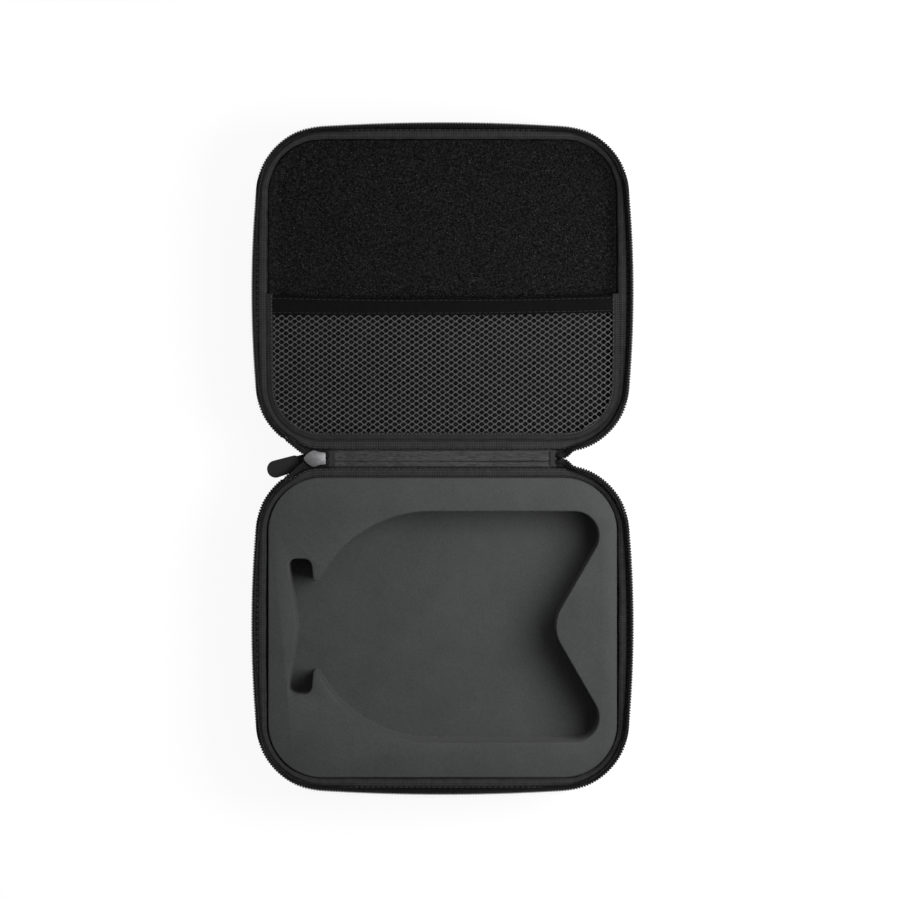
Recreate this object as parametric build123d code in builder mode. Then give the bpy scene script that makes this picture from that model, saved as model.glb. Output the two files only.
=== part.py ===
"""Zipped clamshell case for FPV goggles, laid open flat.

The case is two equal moulded tubs, a base towards -Y and a lid towards +Y, joined along X by a
cloth strip that folds at both of its long edges. The origin is on the ground under the middle of
the strip: +X runs along the hinge, +Y from the base to the lid, +Z up. Lengths are millimetres.
"""

import os
from math import atan2, cos, pi, radians, sin, sqrt, tan

from build123d import *

os.makedirs("parts", exist_ok=True)

# ---- Driving sizes -------------------------------------------------------------------------

# Clearances
SEW_FIT = 0.1  # between sewn or glued layers that follow a curve
RUN_FIT = 0.3  # between pieces that move past each other

# Rim of one half, over the binding
RIM_LENGTH = 214.2
RIM_WIDTH = 184.3
RIM_SIDE_CROWN = 1.2
RIM_FRONT_CROWN = 0.6
RIM_CORNER_RADIUS = 37.0
RIM_HEIGHT = 52.0  # from the ground to the top of the binding

# Hinge strip between the two rims
HINGE_WIDTH = 9.6  # between its two fold lines
HINGE_END_MARGIN = 4.1  # from each end of the strip to the round corner of the rim
HINGE_SEAM = 0.5  # from a fold line to the rim beside it
WEB_THICKNESS = 1.0  # outer cloth
HINGE_LINING_THICKNESS = 0.7  # inner cloth
HEM_WIDTH = 4.2
HEM_THICKNESS = 0.5

# Moulded foam shells
SHELL_WALL = 3.1
SHELL_COLLAR = 9.0  # upright part of the wall under the rim
SHELL_DRAFT = 3.0  # degrees, below the collar
SHELL_BOTTOM_RADIUS = 15.0
LINING_THICKNESS = 0.6

# Binding tape folded over the rim
BINDING_THICKNESS = 0.6
BINDING_DEPTH = 7.0

# Zip: a coil row along the edge of a tape on each half
ZIP_SIDE_REACH = 2.7  # of the coil past the rim, at the middle of each side
ZIP_FRONT_REACH = 3.5  # of the coil past the rim, at the middle of the front
ZIP_HINGE_REACH = 3.0  # from the middle of the hinge to the nearest coil
ZIP_SIDE_CROWN = 6.7
ZIP_FRONT_CROWN = 4.8
ZIP_CORNER_EXTRA = 4.0  # of its corner radius over the rim's
COIL_WIDTH = 2.6
COIL_HEIGHT = 2.8
COIL_ROUNDING = 1.1
COIL_GAP = 0.5  # between the two coils when the case is shut
TAPE_THICKNESS = 0.6
TAPE_START = 2.4  # below the rim
TAPE_RISE = 0.3  # above the rim, before the tape leans over
TAPE_MARGIN = 0.6  # from the edge of the tape to the top of the coil
CHAIN_WIDTH = 4.4  # the two rows, zipped together
CHAIN_CORE = 2.4
CHAIN_THICKNESS = 2.8
TOOTH_PITCH = 1.6
TOOTH_WIDTH = 0.8
CHAIN_TAIL_TEETH = 5  # on each side, in the piece that the slider parks on
CHAIN_END_TEETH = 2

# Slider
SLIDER_LENGTH = 12.6
SLIDER_WIDTH = 9.4
SLIDER_TAIL_WIDTH = 6.5
SLIDER_SHOULDER = 6.0  # from the nose to the widest place
SLIDER_CHEEK_X = 2.5  # a place on the rounded cheek, from the nose
SLIDER_CHEEK_Y = 3.0
SLIDER_WAIST = 9.5  # from the nose to where the tail begins
SLIDER_NOSE_RADIUS = 1.2
SLIDER_PLATE = 1.3
SLIDER_RIDGE = 0.5  # of the roof on the back plate
SLIDER_CHAMFER = 0.3
SLIDER_CHANNEL = 3.6
SLIDER_FLANGE = 0.7
SLIDER_LIP = 0.9
SLIDER_RISE = 0.6  # of the middle of its channel over the rim
SLIDER_RUN = 6.0  # straight start of its way along the zip
SLIDER_STRIP_GAP = 1.1  # from its tail to the hinge strip
POST_START = 0.6  # from the nose
POST_LENGTH = 3.0
POST_WIDTH = 2.0
CROWN_START = 1.6  # from the nose
CROWN_LENGTH = 7.6
CROWN_WIDTH = 2.4
CROWN_BAR = 1.2
CROWN_WINDOW = 2.8
CROWN_RADIUS = 1.0

# Pull: a wire link and a rubber tab
LINK_WIRE = 1.5
LINK_LENGTH = 9.2
LINK_WIDTH = 6.0
LINK_CORNER_RADIUS = 1.6
LINK_SLACK = 0.6
PULL_YAW = 16.5  # degrees that the pull lies askew
TAB_START = 6.8  # from the pivot
TAB_LENGTH = 19.5
TAB_WIDTH = 10.3
TAB_ROOT_WIDTH = 9.0
TAB_THICKNESS = 2.6
TAB_END_RADIUS = 4.9
TAB_ROOT_RADIUS = 2.8
TAB_EDGE_RADIUS = 0.6
TAB_FIELD_INSET = 1.2
TAB_FIELD_DEPTH = 0.25

# Goggle insert
INSERT_GAP = 0.4
INSERT_CORNER_RADIUS = 31.0
INSERT_DROP = 0.5  # of its top under the rim
RECESS_DEPTH = 35.0
RECESS_SHIFT = 0.6  # of the recess towards the hinge
RECESS_HALF_WIDTH = 66.2
RECESS_ROUND_START = -6.0  # X where the straight side turns into the long arc
LOBE_RADIUS = 14.0
NOTCH_X = 62.0
NOTCH_ANGLE = 30.0  # degrees, each side of the notch off the Y axis
NOTCH_RADIUS = 21.0
CUSP_X = -71.5
CUSP_Y = 26.5
CUSP_BLUNT = 2.8
BAR_HALF_LENGTH = 39.0
BAR_INNER_X = -75.5
BAR_OUTER_X = -88.9
BAR_WAIST_X = -83.6
BAR_INNER_RADIUS = 5.0
BAR_OUTER_RADIUS = 4.0
BAR_WAIST_RADIUS = 14.0

# Lid pad and mesh pocket
PAD_DROP = 7.0  # of the sponge pad under the rim
PAD_EDGE_RADIUS = 2.0
POCKET_REACH = 93.6  # from the middle of the hinge to the mouth of the pocket
POCKET_DROP = 0.6  # of the pocket under the rim
BAND_WIDTH = 9.8
BAND_THICKNESS = 1.0
MESH_THICKNESS = 0.8
PIPING_WIDTH = 2.8
PIPING_THICKNESS = 1.4

# ---- Sizes that follow ---------------------------------------------------------------------

BINDING_WIDTH = 2 * BINDING_THICKNESS + SHELL_WALL + LINING_THICKNESS + 3 * SEW_FIT
RIM_NEAR = HINGE_WIDTH / 2 + HINGE_SEAM
RIM_FAR = RIM_NEAR + RIM_WIDTH
HINGE_LENGTH = RIM_LENGTH - 2 * (RIM_CORNER_RADIUS + HINGE_END_MARGIN)
ZIP_LENGTH = RIM_LENGTH + 2 * ZIP_SIDE_REACH
ZIP_FAR = RIM_FAR + ZIP_FRONT_REACH
ZIP_CORNER_RADIUS = RIM_CORNER_RADIUS + ZIP_CORNER_EXTRA
PARTING = RIM_HEIGHT + HINGE_WIDTH / 2
SHELL_INSET = BINDING_THICKNESS + SEW_FIT
SHELL_TOP = RIM_HEIGHT - BINDING_THICKNESS - SEW_FIT
LINING_INSET = SHELL_INSET + SHELL_WALL + SEW_FIT
LINING_FLOOR = SHELL_WALL + SEW_FIT
CAVITY_INSET = LINING_INSET + LINING_THICKNESS
CAVITY_FLOOR = LINING_FLOOR + LINING_THICKNESS
CAVITY_RADIUS = SHELL_BOTTOM_RADIUS - SHELL_WALL - LINING_THICKNESS
COIL_TOP = PARTING - COIL_GAP / 2
COIL_BOTTOM = COIL_TOP - COIL_HEIGHT
TAPE_INSET = COIL_WIDTH + SEW_FIT
STRIP_END = HINGE_LENGTH / 2
CHAIN_END = CHAIN_END_TEETH * TOOTH_PITCH
SLIDER_NOSE_X = -STRIP_END - SLIDER_STRIP_GAP - SLIDER_LENGTH
SLIDER_MID_Z = RIM_HEIGHT + SLIDER_RISE
SLIDER_UNDER_Z = SLIDER_MID_Z - SLIDER_CHANNEL / 2 - SLIDER_PLATE
ZIP_LEFT_END = SLIDER_NOSE_X - SLIDER_RUN - RUN_FIT
ZIP_RIGHT_END = STRIP_END + CHAIN_END + RUN_FIT
PIVOT_X = SLIDER_NOSE_X + CROWN_START + CROWN_BAR + LINK_SLACK + LINK_WIRE / 2
PIVOT_Z = SLIDER_UNDER_Z - CROWN_WINDOW / 2
FOAM_FLOOR = CAVITY_FLOOR + SEW_FIT
FOAM_RADIUS = CAVITY_RADIUS - INSERT_GAP
INSERT_TOP = RIM_HEIGHT - INSERT_DROP
PAD_TOP = RIM_HEIGHT - PAD_DROP
POCKET_TOP = RIM_HEIGHT - POCKET_DROP
PIPING_INSET = BINDING_WIDTH + SEW_FIT
MESH_INSET = PIPING_INSET + PIPING_WIDTH + SEW_FIT


# ---- Shared forms --------------------------------------------------------------------------


def on_arc(centre, radius, angle, toward):
    """A place on an arc, in the base half when toward is -1 and in the lid half when it is 1."""
    return (centre.X + radius * cos(angle), toward * (centre.Y + radius * sin(angle)))


def half_plan(length, near, far, side_crown, front_crown, corner_radius, inset, toward):
    """Plan of one half: straight along the hinge, bowed on the other sides, with round corners."""
    reach = length / 2 - side_crown
    front = far - front_crown
    side_radius = ((front - near) ** 2 / 4 + side_crown**2) / (2 * side_crown)
    front_radius = (reach**2 + front_crown**2) / (2 * front_crown)
    side = Vector(length / 2 - side_radius, (near + front) / 2)
    head = Vector(0, far - front_radius)

    side_reach = side_radius - corner_radius
    near_rise = near + corner_radius - side.Y
    near_corner = Vector(side.X + sqrt(side_reach**2 - near_rise**2), near + corner_radius)
    gap = head - side
    share = (side_reach**2 - (front_radius - corner_radius) ** 2) / (2 * gap.length) + gap.length / 2
    across = Vector(-gap.Y, gap.X).normalized() * sqrt(side_reach**2 - share**2)
    far_corner = side + gap.normalized() * share + across

    low = atan2(near_rise, near_corner.X - side.X)
    high = atan2(far_corner.Y - side.Y, far_corner.X - side.X)
    top = atan2(far_corner.Y - head.Y, far_corner.X)
    turns = (
        (near_corner, corner_radius - inset, -pi / 2, low),
        (side, side_radius - inset, low, high),
        (far_corner, corner_radius - inset, high, top),
    )
    with BuildSketch() as plan:
        with BuildLine():
            for centre, radius, start, end in turns:
                ThreePointArc(
                    on_arc(centre, radius, start, toward),
                    on_arc(centre, radius, (start + end) / 2, toward),
                    on_arc(centre, radius, end, toward),
                )
            mirror(about=Plane.YZ)
            Line((-near_corner.X, toward * (near + inset)), (near_corner.X, toward * (near + inset)))
            ThreePointArc(
                on_arc(head, front_radius - inset, top, toward),
                (0, toward * (far - inset)),
                on_arc(head, front_radius - inset, pi - top, toward),
            )
        make_face()
    return plan.sketch


def rim_plan(inset, toward):
    """Plan of the rim, moved in from the outside of the binding."""
    shape = (RIM_LENGTH, RIM_NEAR, RIM_FAR, RIM_SIDE_CROWN, RIM_FRONT_CROWN, RIM_CORNER_RADIUS)
    return half_plan(*shape, inset, toward)


def zip_plan(inset, toward):
    """Plan of the zip, moved in from the outside of the coil."""
    shape = (ZIP_LENGTH, ZIP_HINGE_REACH, ZIP_FAR, ZIP_SIDE_CROWN, ZIP_FRONT_CROWN, ZIP_CORNER_RADIUS)
    return half_plan(*shape, inset, toward)


def insert_plan(toward, inset):
    """Plan of the foam that fills a half: straight sides, just inside the binding."""
    length = RIM_LENGTH - 2 * (BINDING_WIDTH + RIM_SIDE_CROWN + INSERT_GAP)
    width = RIM_WIDTH - 2 * (BINDING_WIDTH + INSERT_GAP) - RIM_FRONT_CROWN
    middle = RIM_NEAR + BINDING_WIDTH + INSERT_GAP + width / 2
    with BuildSketch() as plan:
        with Locations((0, toward * middle)):
            RectangleRounded(length - 2 * inset, width - 2 * inset, INSERT_CORNER_RADIUS - inset)
    return plan.sketch


def draw_in(floor):
    """How far the drafted wall has drawn in at its floor."""
    return (RIM_HEIGHT - SHELL_COLLAR - floor) * tan(radians(SHELL_DRAFT))


def tub(plan, foot, floor, top, bottom_radius):
    """A filled tub: an upright collar over a wall that draws in to its foot, with a round bottom edge."""
    waist = RIM_HEIGHT - SHELL_COLLAR
    wall = leaning(foot, plan, floor, waist)
    with BuildPart() as body:
        add(wall)
        with BuildSketch(Plane.XY.offset(waist)):
            add(plan)
        extrude(amount=top - waist)
        fillet(body.edges().group_by(Axis.Z)[0], bottom_radius)
    return body.part


def rim_tub(inset, toward, floor, bottom_radius):
    """The tub that fills a half up to the top of its shell, moved in from the outside of the binding."""
    foot = rim_plan(inset + draw_in(floor), toward)
    return tub(rim_plan(inset, toward), foot, floor, SHELL_TOP, bottom_radius)


def foam_tub(toward, top):
    """The foam that fills a half up to a given height."""
    foot = insert_plan(toward, draw_in(FOAM_FLOOR))
    return tub(insert_plan(toward, 0), foot, FOAM_FLOOR, top, FOAM_RADIUS)


def ring(outer, inner, low, high):
    """An upright band between two plans."""
    with BuildPart() as band:
        with BuildSketch(Plane.XY.offset(low)):
            add(outer)
            add(inner, mode=Mode.SUBTRACT)
        extrude(amount=high - low)
    return band.part


def leaning(plan_low, plan_high, low, high):
    """A filled solid whose wall leans from one plan to another."""
    with BuildPart() as solid:
        with BuildSketch(Plane.XY.offset(low)):
            add(plan_low)
        with BuildSketch(Plane.XY.offset(high)):
            add(plan_high)
        loft(ruled=True)
    return solid.part


def zip_gap(toward):
    """The stretch of the hinge side that the zip leaves to the strip and the slider."""
    length = ZIP_RIGHT_END - ZIP_LEFT_END
    reach = RIM_NEAR + ZIP_CORNER_RADIUS / 2
    low = RIM_HEIGHT - BINDING_DEPTH
    with BuildPart() as gap:
        with BuildSketch(Plane.XY.offset(low)):
            with Locations(((ZIP_RIGHT_END + ZIP_LEFT_END) / 2, toward * reach / 2)):
                Rectangle(length, reach)
        extrude(amount=PARTING - low)
    return gap.part


# ---- Both halves: shell, lining, binding, zip tape and zip coil ----------------------------

for half, toward in (("base", -1), ("lid", 1)):
    outer_tub = rim_tub(SHELL_INSET, toward, 0, SHELL_BOTTOM_RADIUS)
    shell_hollow = rim_tub(SHELL_INSET + SHELL_WALL, toward, SHELL_WALL, SHELL_BOTTOM_RADIUS - SHELL_WALL)
    with BuildPart() as shell:
        add(outer_tub)
        add(shell_hollow, mode=Mode.SUBTRACT)
    shell.part.label = f"{half}_shell"
    export_step(shell.part, f"parts/{half}_shell.step")

    lining_tub = rim_tub(LINING_INSET, toward, LINING_FLOOR, CAVITY_RADIUS + LINING_THICKNESS)
    cavity = rim_tub(CAVITY_INSET, toward, CAVITY_FLOOR, CAVITY_RADIUS)
    with BuildPart() as lining:
        add(lining_tub)
        add(cavity, mode=Mode.SUBTRACT)
    lining.part.label = f"{half}_lining"
    export_step(lining.part, f"parts/{half}_lining.step")

    wrapped = ring(
        rim_plan(BINDING_THICKNESS, toward),
        rim_plan(BINDING_WIDTH - BINDING_THICKNESS, toward),
        RIM_HEIGHT - BINDING_DEPTH,
        RIM_HEIGHT - BINDING_THICKNESS,
    )
    with BuildPart() as binding:
        add(ring(rim_plan(0, toward), rim_plan(BINDING_WIDTH, toward), RIM_HEIGHT - BINDING_DEPTH, RIM_HEIGHT))
        fillet(binding.edges().group_by(Axis.Z)[-1], BINDING_THICKNESS)
        add(wrapped, mode=Mode.SUBTRACT)
    binding.part.label = f"{half}_binding"
    export_step(binding.part, f"parts/{half}_binding.step")

    upright = ring(
        rim_plan(-SEW_FIT - TAPE_THICKNESS, toward),
        rim_plan(-SEW_FIT, toward),
        RIM_HEIGHT - TAPE_START,
        RIM_HEIGHT + TAPE_RISE,
    )
    outer_lean = leaning(
        rim_plan(-SEW_FIT - TAPE_THICKNESS, toward),
        zip_plan(TAPE_INSET, toward),
        RIM_HEIGHT + TAPE_RISE,
        COIL_BOTTOM,
    )
    inner_lean = leaning(
        rim_plan(-SEW_FIT, toward),
        zip_plan(TAPE_INSET + TAPE_THICKNESS, toward),
        RIM_HEIGHT + TAPE_RISE,
        COIL_BOTTOM,
    )
    edge = ring(
        zip_plan(TAPE_INSET, toward),
        zip_plan(TAPE_INSET + TAPE_THICKNESS, toward),
        COIL_BOTTOM,
        COIL_TOP - TAPE_MARGIN,
    )
    gap = zip_gap(toward)
    with BuildPart() as tape:
        add(outer_lean)
        add(inner_lean, mode=Mode.SUBTRACT)
        add(upright)
        add(edge)
        add(gap, mode=Mode.SUBTRACT)
    tape.part.label = f"{half}_zip_tape"
    export_step(tape.part, f"parts/{half}_zip_tape.step")

    coil_row = ring(zip_plan(0, toward), zip_plan(COIL_WIDTH, toward), COIL_BOTTOM, COIL_TOP)
    with BuildPart() as coil:
        add(coil_row)
        fillet(coil.edges().group_by(Axis.Z)[0] + coil.edges().group_by(Axis.Z)[-1], COIL_ROUNDING)
        add(gap, mode=Mode.SUBTRACT)
    coil.part.label = f"{half}_zip_coil"
    export_step(coil.part, f"parts/{half}_zip_coil.step")

# ---- Goggle insert: a die-cut block glued on a floor sheet ---------------------------------

insert_foam = foam_tub(-1, INSERT_TOP)
recess_floor = Plane.XY.offset(INSERT_TOP - RECESS_DEPTH)

with BuildPart() as insert_floor:
    add(insert_foam)
    split(bisect_by=recess_floor, keep=Keep.BOTTOM)
insert_floor.part.label = "insert_floor"
export_step(insert_floor.part, "parts/insert_floor.step")

insert_middle = -insert_foam.bounding_box().center().Y - RECESS_SHIFT
lobe_corner_x = NOTCH_X + RECESS_HALF_WIDTH * tan(radians(NOTCH_ANGLE))
with BuildSketch() as recess:
    with BuildLine():
        Line((NOTCH_X, 0), (lobe_corner_x, RECESS_HALF_WIDTH))
        Line((lobe_corner_x, RECESS_HALF_WIDTH), (RECESS_ROUND_START, RECESS_HALF_WIDTH))
        TangentArc((RECESS_ROUND_START, RECESS_HALF_WIDTH), (CUSP_X, CUSP_Y), tangent=(-1, 0))
        Polyline(
            (CUSP_X, CUSP_Y),
            (CUSP_X - CUSP_BLUNT, CUSP_Y),
            (BAR_INNER_X, BAR_HALF_LENGTH),
            (BAR_OUTER_X, BAR_HALF_LENGTH),
            (BAR_WAIST_X, 0),
        )
        mirror(about=Plane.XZ)
    make_face()
    for x, y, radius in (
        (lobe_corner_x, RECESS_HALF_WIDTH, LOBE_RADIUS),
        (lobe_corner_x, -RECESS_HALF_WIDTH, LOBE_RADIUS),
        (NOTCH_X, 0, NOTCH_RADIUS),
        (BAR_INNER_X, BAR_HALF_LENGTH, BAR_INNER_RADIUS),
        (BAR_INNER_X, -BAR_HALF_LENGTH, BAR_INNER_RADIUS),
        (BAR_OUTER_X, BAR_HALF_LENGTH, BAR_OUTER_RADIUS),
        (BAR_OUTER_X, -BAR_HALF_LENGTH, BAR_OUTER_RADIUS),
        (BAR_WAIST_X, 0, BAR_WAIST_RADIUS),
    ):
        fillet(recess.vertices().sort_by_distance((x, y, 0))[0], radius)

with BuildPart() as insert_block:
    add(insert_foam)
    split(bisect_by=recess_floor, keep=Keep.TOP)
    with BuildSketch(Plane((0, -insert_middle, recess_floor.origin.Z))):
        add(recess.sketch)
    extrude(amount=RECESS_DEPTH, mode=Mode.SUBTRACT)
insert_block.part.label = "insert_block"
export_step(insert_block.part, "parts/insert_block.step")

# ---- Hinge strip: outer web, inner lining and the hems at its ends -------------------------

strip_width = HINGE_WIDTH - 2 * RUN_FIT
web_top = RIM_HEIGHT - HINGE_LINING_THICKNESS

with BuildPart() as hinge_web:
    with BuildSketch(Plane.XY.offset(web_top)):
        Rectangle(HINGE_LENGTH, strip_width)
    extrude(amount=-WEB_THICKNESS)
    fillet(hinge_web.edges().filter_by(Axis.X).group_by(Axis.Z)[0], WEB_THICKNESS / 2)
hinge_web.part.label = "hinge_web"
export_step(hinge_web.part, "parts/hinge_web.step")

with BuildPart() as hinge_lining:
    with BuildSketch(Plane.XY.offset(web_top)):
        Rectangle(HINGE_LENGTH, strip_width)
    extrude(amount=HINGE_LINING_THICKNESS)
    fillet(hinge_lining.edges().filter_by(Axis.X).group_by(Axis.Z)[-1], HINGE_LINING_THICKNESS / 2)
hinge_lining.part.label = "hinge_lining"
export_step(hinge_lining.part, "parts/hinge_lining.step")

for end, side in (("left", -1), ("right", 1)):
    with BuildPart() as hem:
        with BuildSketch(Plane.XY.offset(RIM_HEIGHT)):
            with Locations((side * (STRIP_END - HEM_WIDTH / 2), 0)):
                Rectangle(HEM_WIDTH, strip_width - HINGE_LINING_THICKNESS)
        extrude(amount=HEM_THICKNESS)
        fillet(hem.edges().group_by(Axis.Z)[-1], HEM_THICKNESS / 2)
    hem.part.label = f"hinge_hem_{end}"
    export_step(hem.part, f"parts/hinge_hem_{end}.step")

# ---- Zipped chain at each end of the strip -------------------------------------------------

tooth_depth = (CHAIN_WIDTH - CHAIN_CORE) / 2
tooth_middle = (CHAIN_CORE + tooth_depth) / 2
tooth_stagger = TOOTH_PITCH / 4

for end, side, teeth in (("left", -1, CHAIN_TAIL_TEETH), ("right", 1, CHAIN_END_TEETH)):
    length = teeth * TOOTH_PITCH
    middle = side * (STRIP_END + length / 2)
    with BuildPart() as chain:
        with BuildSketch(Plane.XY.offset(SLIDER_MID_Z - CHAIN_THICKNESS / 2)):
            with Locations((middle, 0)):
                Rectangle(length, CHAIN_CORE)
            with Locations((middle - tooth_stagger, tooth_middle)):
                with GridLocations(TOOTH_PITCH, 0, teeth, 1):
                    Rectangle(TOOTH_WIDTH, tooth_depth)
            with Locations((middle + tooth_stagger, -tooth_middle)):
                with GridLocations(TOOTH_PITCH, 0, teeth, 1):
                    Rectangle(TOOTH_WIDTH, tooth_depth)
        extrude(amount=CHAIN_THICKNESS)
    chain.part.label = f"zip_chain_{end}"
    export_step(chain.part, f"parts/zip_chain_{end}.step")

# ---- Slider: two plates held apart by a post, with lips along the tail ---------------------

slider_frame = Plane((SLIDER_NOSE_X, 0, SLIDER_MID_Z))
half_channel = SLIDER_CHANNEL / 2

with BuildSketch() as slider_plan:
    with BuildLine():
        ThreePointArc(
            (0, 0),
            (SLIDER_CHEEK_X, SLIDER_CHEEK_Y),
            (SLIDER_SHOULDER, SLIDER_WIDTH / 2),
        )
        Polyline(
            (SLIDER_SHOULDER, SLIDER_WIDTH / 2),
            (SLIDER_WAIST, SLIDER_TAIL_WIDTH / 2 + SLIDER_FLANGE / 2),
            (SLIDER_LENGTH, SLIDER_TAIL_WIDTH / 2),
            (SLIDER_LENGTH, 0),
        )
        mirror(about=Plane.XZ)
    make_face()
    fillet(slider_plan.vertices().group_by(Axis.X)[0], SLIDER_NOSE_RADIUS)
    fillet(slider_plan.vertices().group_by(Axis.Y)[0], SLIDER_NOSE_RADIUS)
    fillet(slider_plan.vertices().group_by(Axis.Y)[-1], SLIDER_NOSE_RADIUS)

with BuildPart() as back_plate:
    with BuildSketch(slider_frame.offset(half_channel)):
        add(slider_plan.sketch)
    extrude(amount=SLIDER_PLATE + SLIDER_RIDGE)
    with BuildSketch(Plane.YZ.offset(SLIDER_NOSE_X)):
        with BuildLine():
            Polyline(
                (0, SLIDER_MID_Z + half_channel + SLIDER_PLATE + SLIDER_RIDGE),
                (-SLIDER_WIDTH / 2, SLIDER_MID_Z + half_channel + SLIDER_PLATE),
                (-SLIDER_WIDTH / 2, SLIDER_MID_Z + half_channel),
                (SLIDER_WIDTH / 2, SLIDER_MID_Z + half_channel),
                (SLIDER_WIDTH / 2, SLIDER_MID_Z + half_channel + SLIDER_PLATE),
                close=True,
            )
        make_face()
    extrude(amount=SLIDER_LENGTH, mode=Mode.INTERSECT)

with BuildPart() as front_plate:
    with BuildSketch(slider_frame.offset(-half_channel)):
        add(slider_plan.sketch)
    extrude(amount=-SLIDER_PLATE)
    chamfer(front_plate.edges().group_by(Axis.Z)[0], SLIDER_CHAMFER)

with BuildPart() as lips:
    with BuildSketch(slider_frame.offset(-half_channel)):
        add(slider_plan.sketch)
        offset(amount=-SLIDER_FLANGE, mode=Mode.SUBTRACT)
        with Locations((SLIDER_SHOULDER / 2, 0)):
            Rectangle(SLIDER_SHOULDER, SLIDER_WIDTH, mode=Mode.SUBTRACT)
        with Locations((SLIDER_LENGTH, 0)):
            Rectangle(2 * SLIDER_FLANGE, SLIDER_TAIL_WIDTH - 2 * SLIDER_FLANGE, mode=Mode.SUBTRACT)
    extrude(amount=SLIDER_CHANNEL)
    with BuildSketch(slider_frame.offset(-half_channel + SLIDER_LIP)):
        add(slider_plan.sketch)
    extrude(amount=SLIDER_CHANNEL - 2 * SLIDER_LIP, mode=Mode.SUBTRACT)

with BuildPart() as slider_body:
    add(back_plate.part)
    add(front_plate.part)
    add(lips.part)
    with BuildSketch(slider_frame.offset(-half_channel)):
        with Locations((POST_START + POST_LENGTH / 2, 0)):
            Ellipse(POST_LENGTH / 2, POST_WIDTH / 2)
    extrude(amount=SLIDER_CHANNEL)
slider_body.part.label = "slider_body"
export_step(slider_body.part, "parts/slider_body.step")

with BuildPart() as slider_crown:
    with BuildSketch(Plane.XZ.offset(CROWN_WIDTH / 2)):
        with Locations((SLIDER_NOSE_X + CROWN_START + CROWN_LENGTH / 2, SLIDER_UNDER_Z)):
            Rectangle(CROWN_LENGTH, CROWN_WINDOW + CROWN_BAR, align=(Align.CENTER, Align.MAX))
            Rectangle(
                CROWN_LENGTH - 2 * CROWN_BAR,
                CROWN_WINDOW,
                align=(Align.CENTER, Align.MAX),
                mode=Mode.SUBTRACT,
            )
    extrude(amount=-CROWN_WIDTH)
    fillet(slider_crown.edges().filter_by(Axis.Y).group_by(Axis.Z)[0], CROWN_RADIUS)
slider_crown.part.label = "slider_crown"
export_step(slider_crown.part, "parts/slider_crown.step")

# ---- Pull: wire link through the crown, rubber tab moulded on the link ---------------------

pull_angle = radians(PULL_YAW)
pull_frame = Plane((PIVOT_X, 0, PIVOT_Z), x_dir=(-cos(pull_angle), -sin(pull_angle), 0), z_dir=(0, 0, 1))


def link(radius):
    """The link's closed wire loop, with a given wire radius."""
    with BuildSketch(pull_frame) as loop:
        with Locations((LINK_LENGTH / 2, 0)):
            RectangleRounded(LINK_LENGTH, LINK_WIDTH, LINK_CORNER_RADIUS)
    path = loop.sketch.wire()
    with BuildPart() as wire:
        with BuildSketch(Plane(path @ 0, z_dir=path % 0)):
            Circle(radius)
        sweep(path=path)
    return wire.part


link_wire = link(LINK_WIRE / 2)
link_seat = link(LINK_WIRE / 2 + SEW_FIT)

with BuildPart() as pull_link:
    add(link_wire)
pull_link.part.label = "pull_link"
export_step(pull_link.part, "parts/pull_link.step")

with BuildSketch() as tab_plan:
    with BuildLine():
        Polyline(
            (TAB_START, TAB_ROOT_WIDTH / 2),
            (TAB_START + TAB_LENGTH, TAB_WIDTH / 2),
            (TAB_START + TAB_LENGTH, -TAB_WIDTH / 2),
            (TAB_START, -TAB_ROOT_WIDTH / 2),
            close=True,
        )
    make_face()
    fillet(tab_plan.vertices().group_by(Axis.X)[-1], TAB_END_RADIUS)
    fillet(tab_plan.vertices().group_by(Axis.X)[0], TAB_ROOT_RADIUS)
with BuildSketch() as tab_field:
    add(tab_plan.sketch)
    offset(amount=-TAB_FIELD_INSET)

with BuildPart() as pull_tab:
    with BuildSketch(pull_frame.offset(-TAB_THICKNESS / 2)):
        add(tab_plan.sketch)
    extrude(amount=TAB_THICKNESS)
    fillet(pull_tab.edges().group_by(Axis.Z)[0] + pull_tab.edges().group_by(Axis.Z)[-1], TAB_EDGE_RADIUS)
    for side in (-1, 1):
        with BuildSketch(pull_frame.offset(side * TAB_THICKNESS / 2)):
            add(tab_field.sketch)
        extrude(amount=-side * TAB_FIELD_DEPTH, mode=Mode.SUBTRACT)
    add(link_seat, mode=Mode.SUBTRACT)
pull_tab.part.label = "pull_tab"
export_step(pull_tab.part, "parts/pull_tab.step")

# ---- Lid pad and mesh pocket ---------------------------------------------------------------

pad_foam = foam_tub(1, PAD_TOP)
with BuildPart() as lid_pad:
    add(pad_foam)
    fillet(lid_pad.edges().group_by(Axis.Z)[-1], PAD_EDGE_RADIUS)
lid_pad.part.label = "lid_pad"
export_step(lid_pad.part, "parts/lid_pad.step")

piping_outer = rim_plan(PIPING_INSET, 1)
piping_inner = rim_plan(PIPING_INSET + PIPING_WIDTH, 1)
mesh_plan = rim_plan(MESH_INSET, 1)

with BuildPart() as pocket_piping:
    with BuildSketch(Plane.XY.offset(POCKET_TOP)):
        add(piping_outer)
        add(piping_inner, mode=Mode.SUBTRACT)
        Rectangle(RIM_LENGTH, 2 * POCKET_REACH, mode=Mode.INTERSECT)
    extrude(amount=-PIPING_THICKNESS)
pocket_piping.part.label = "pocket_piping"
export_step(pocket_piping.part, "parts/pocket_piping.step")

with BuildPart() as pocket_band:
    with BuildSketch(Plane.XY.offset(POCKET_TOP)):
        add(mesh_plan)
        with Locations((0, POCKET_REACH - BAND_WIDTH / 2)):
            Rectangle(RIM_LENGTH, BAND_WIDTH, mode=Mode.INTERSECT)
    extrude(amount=-BAND_THICKNESS)
pocket_band.part.label = "pocket_band"
export_step(pocket_band.part, "parts/pocket_band.step")

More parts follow.
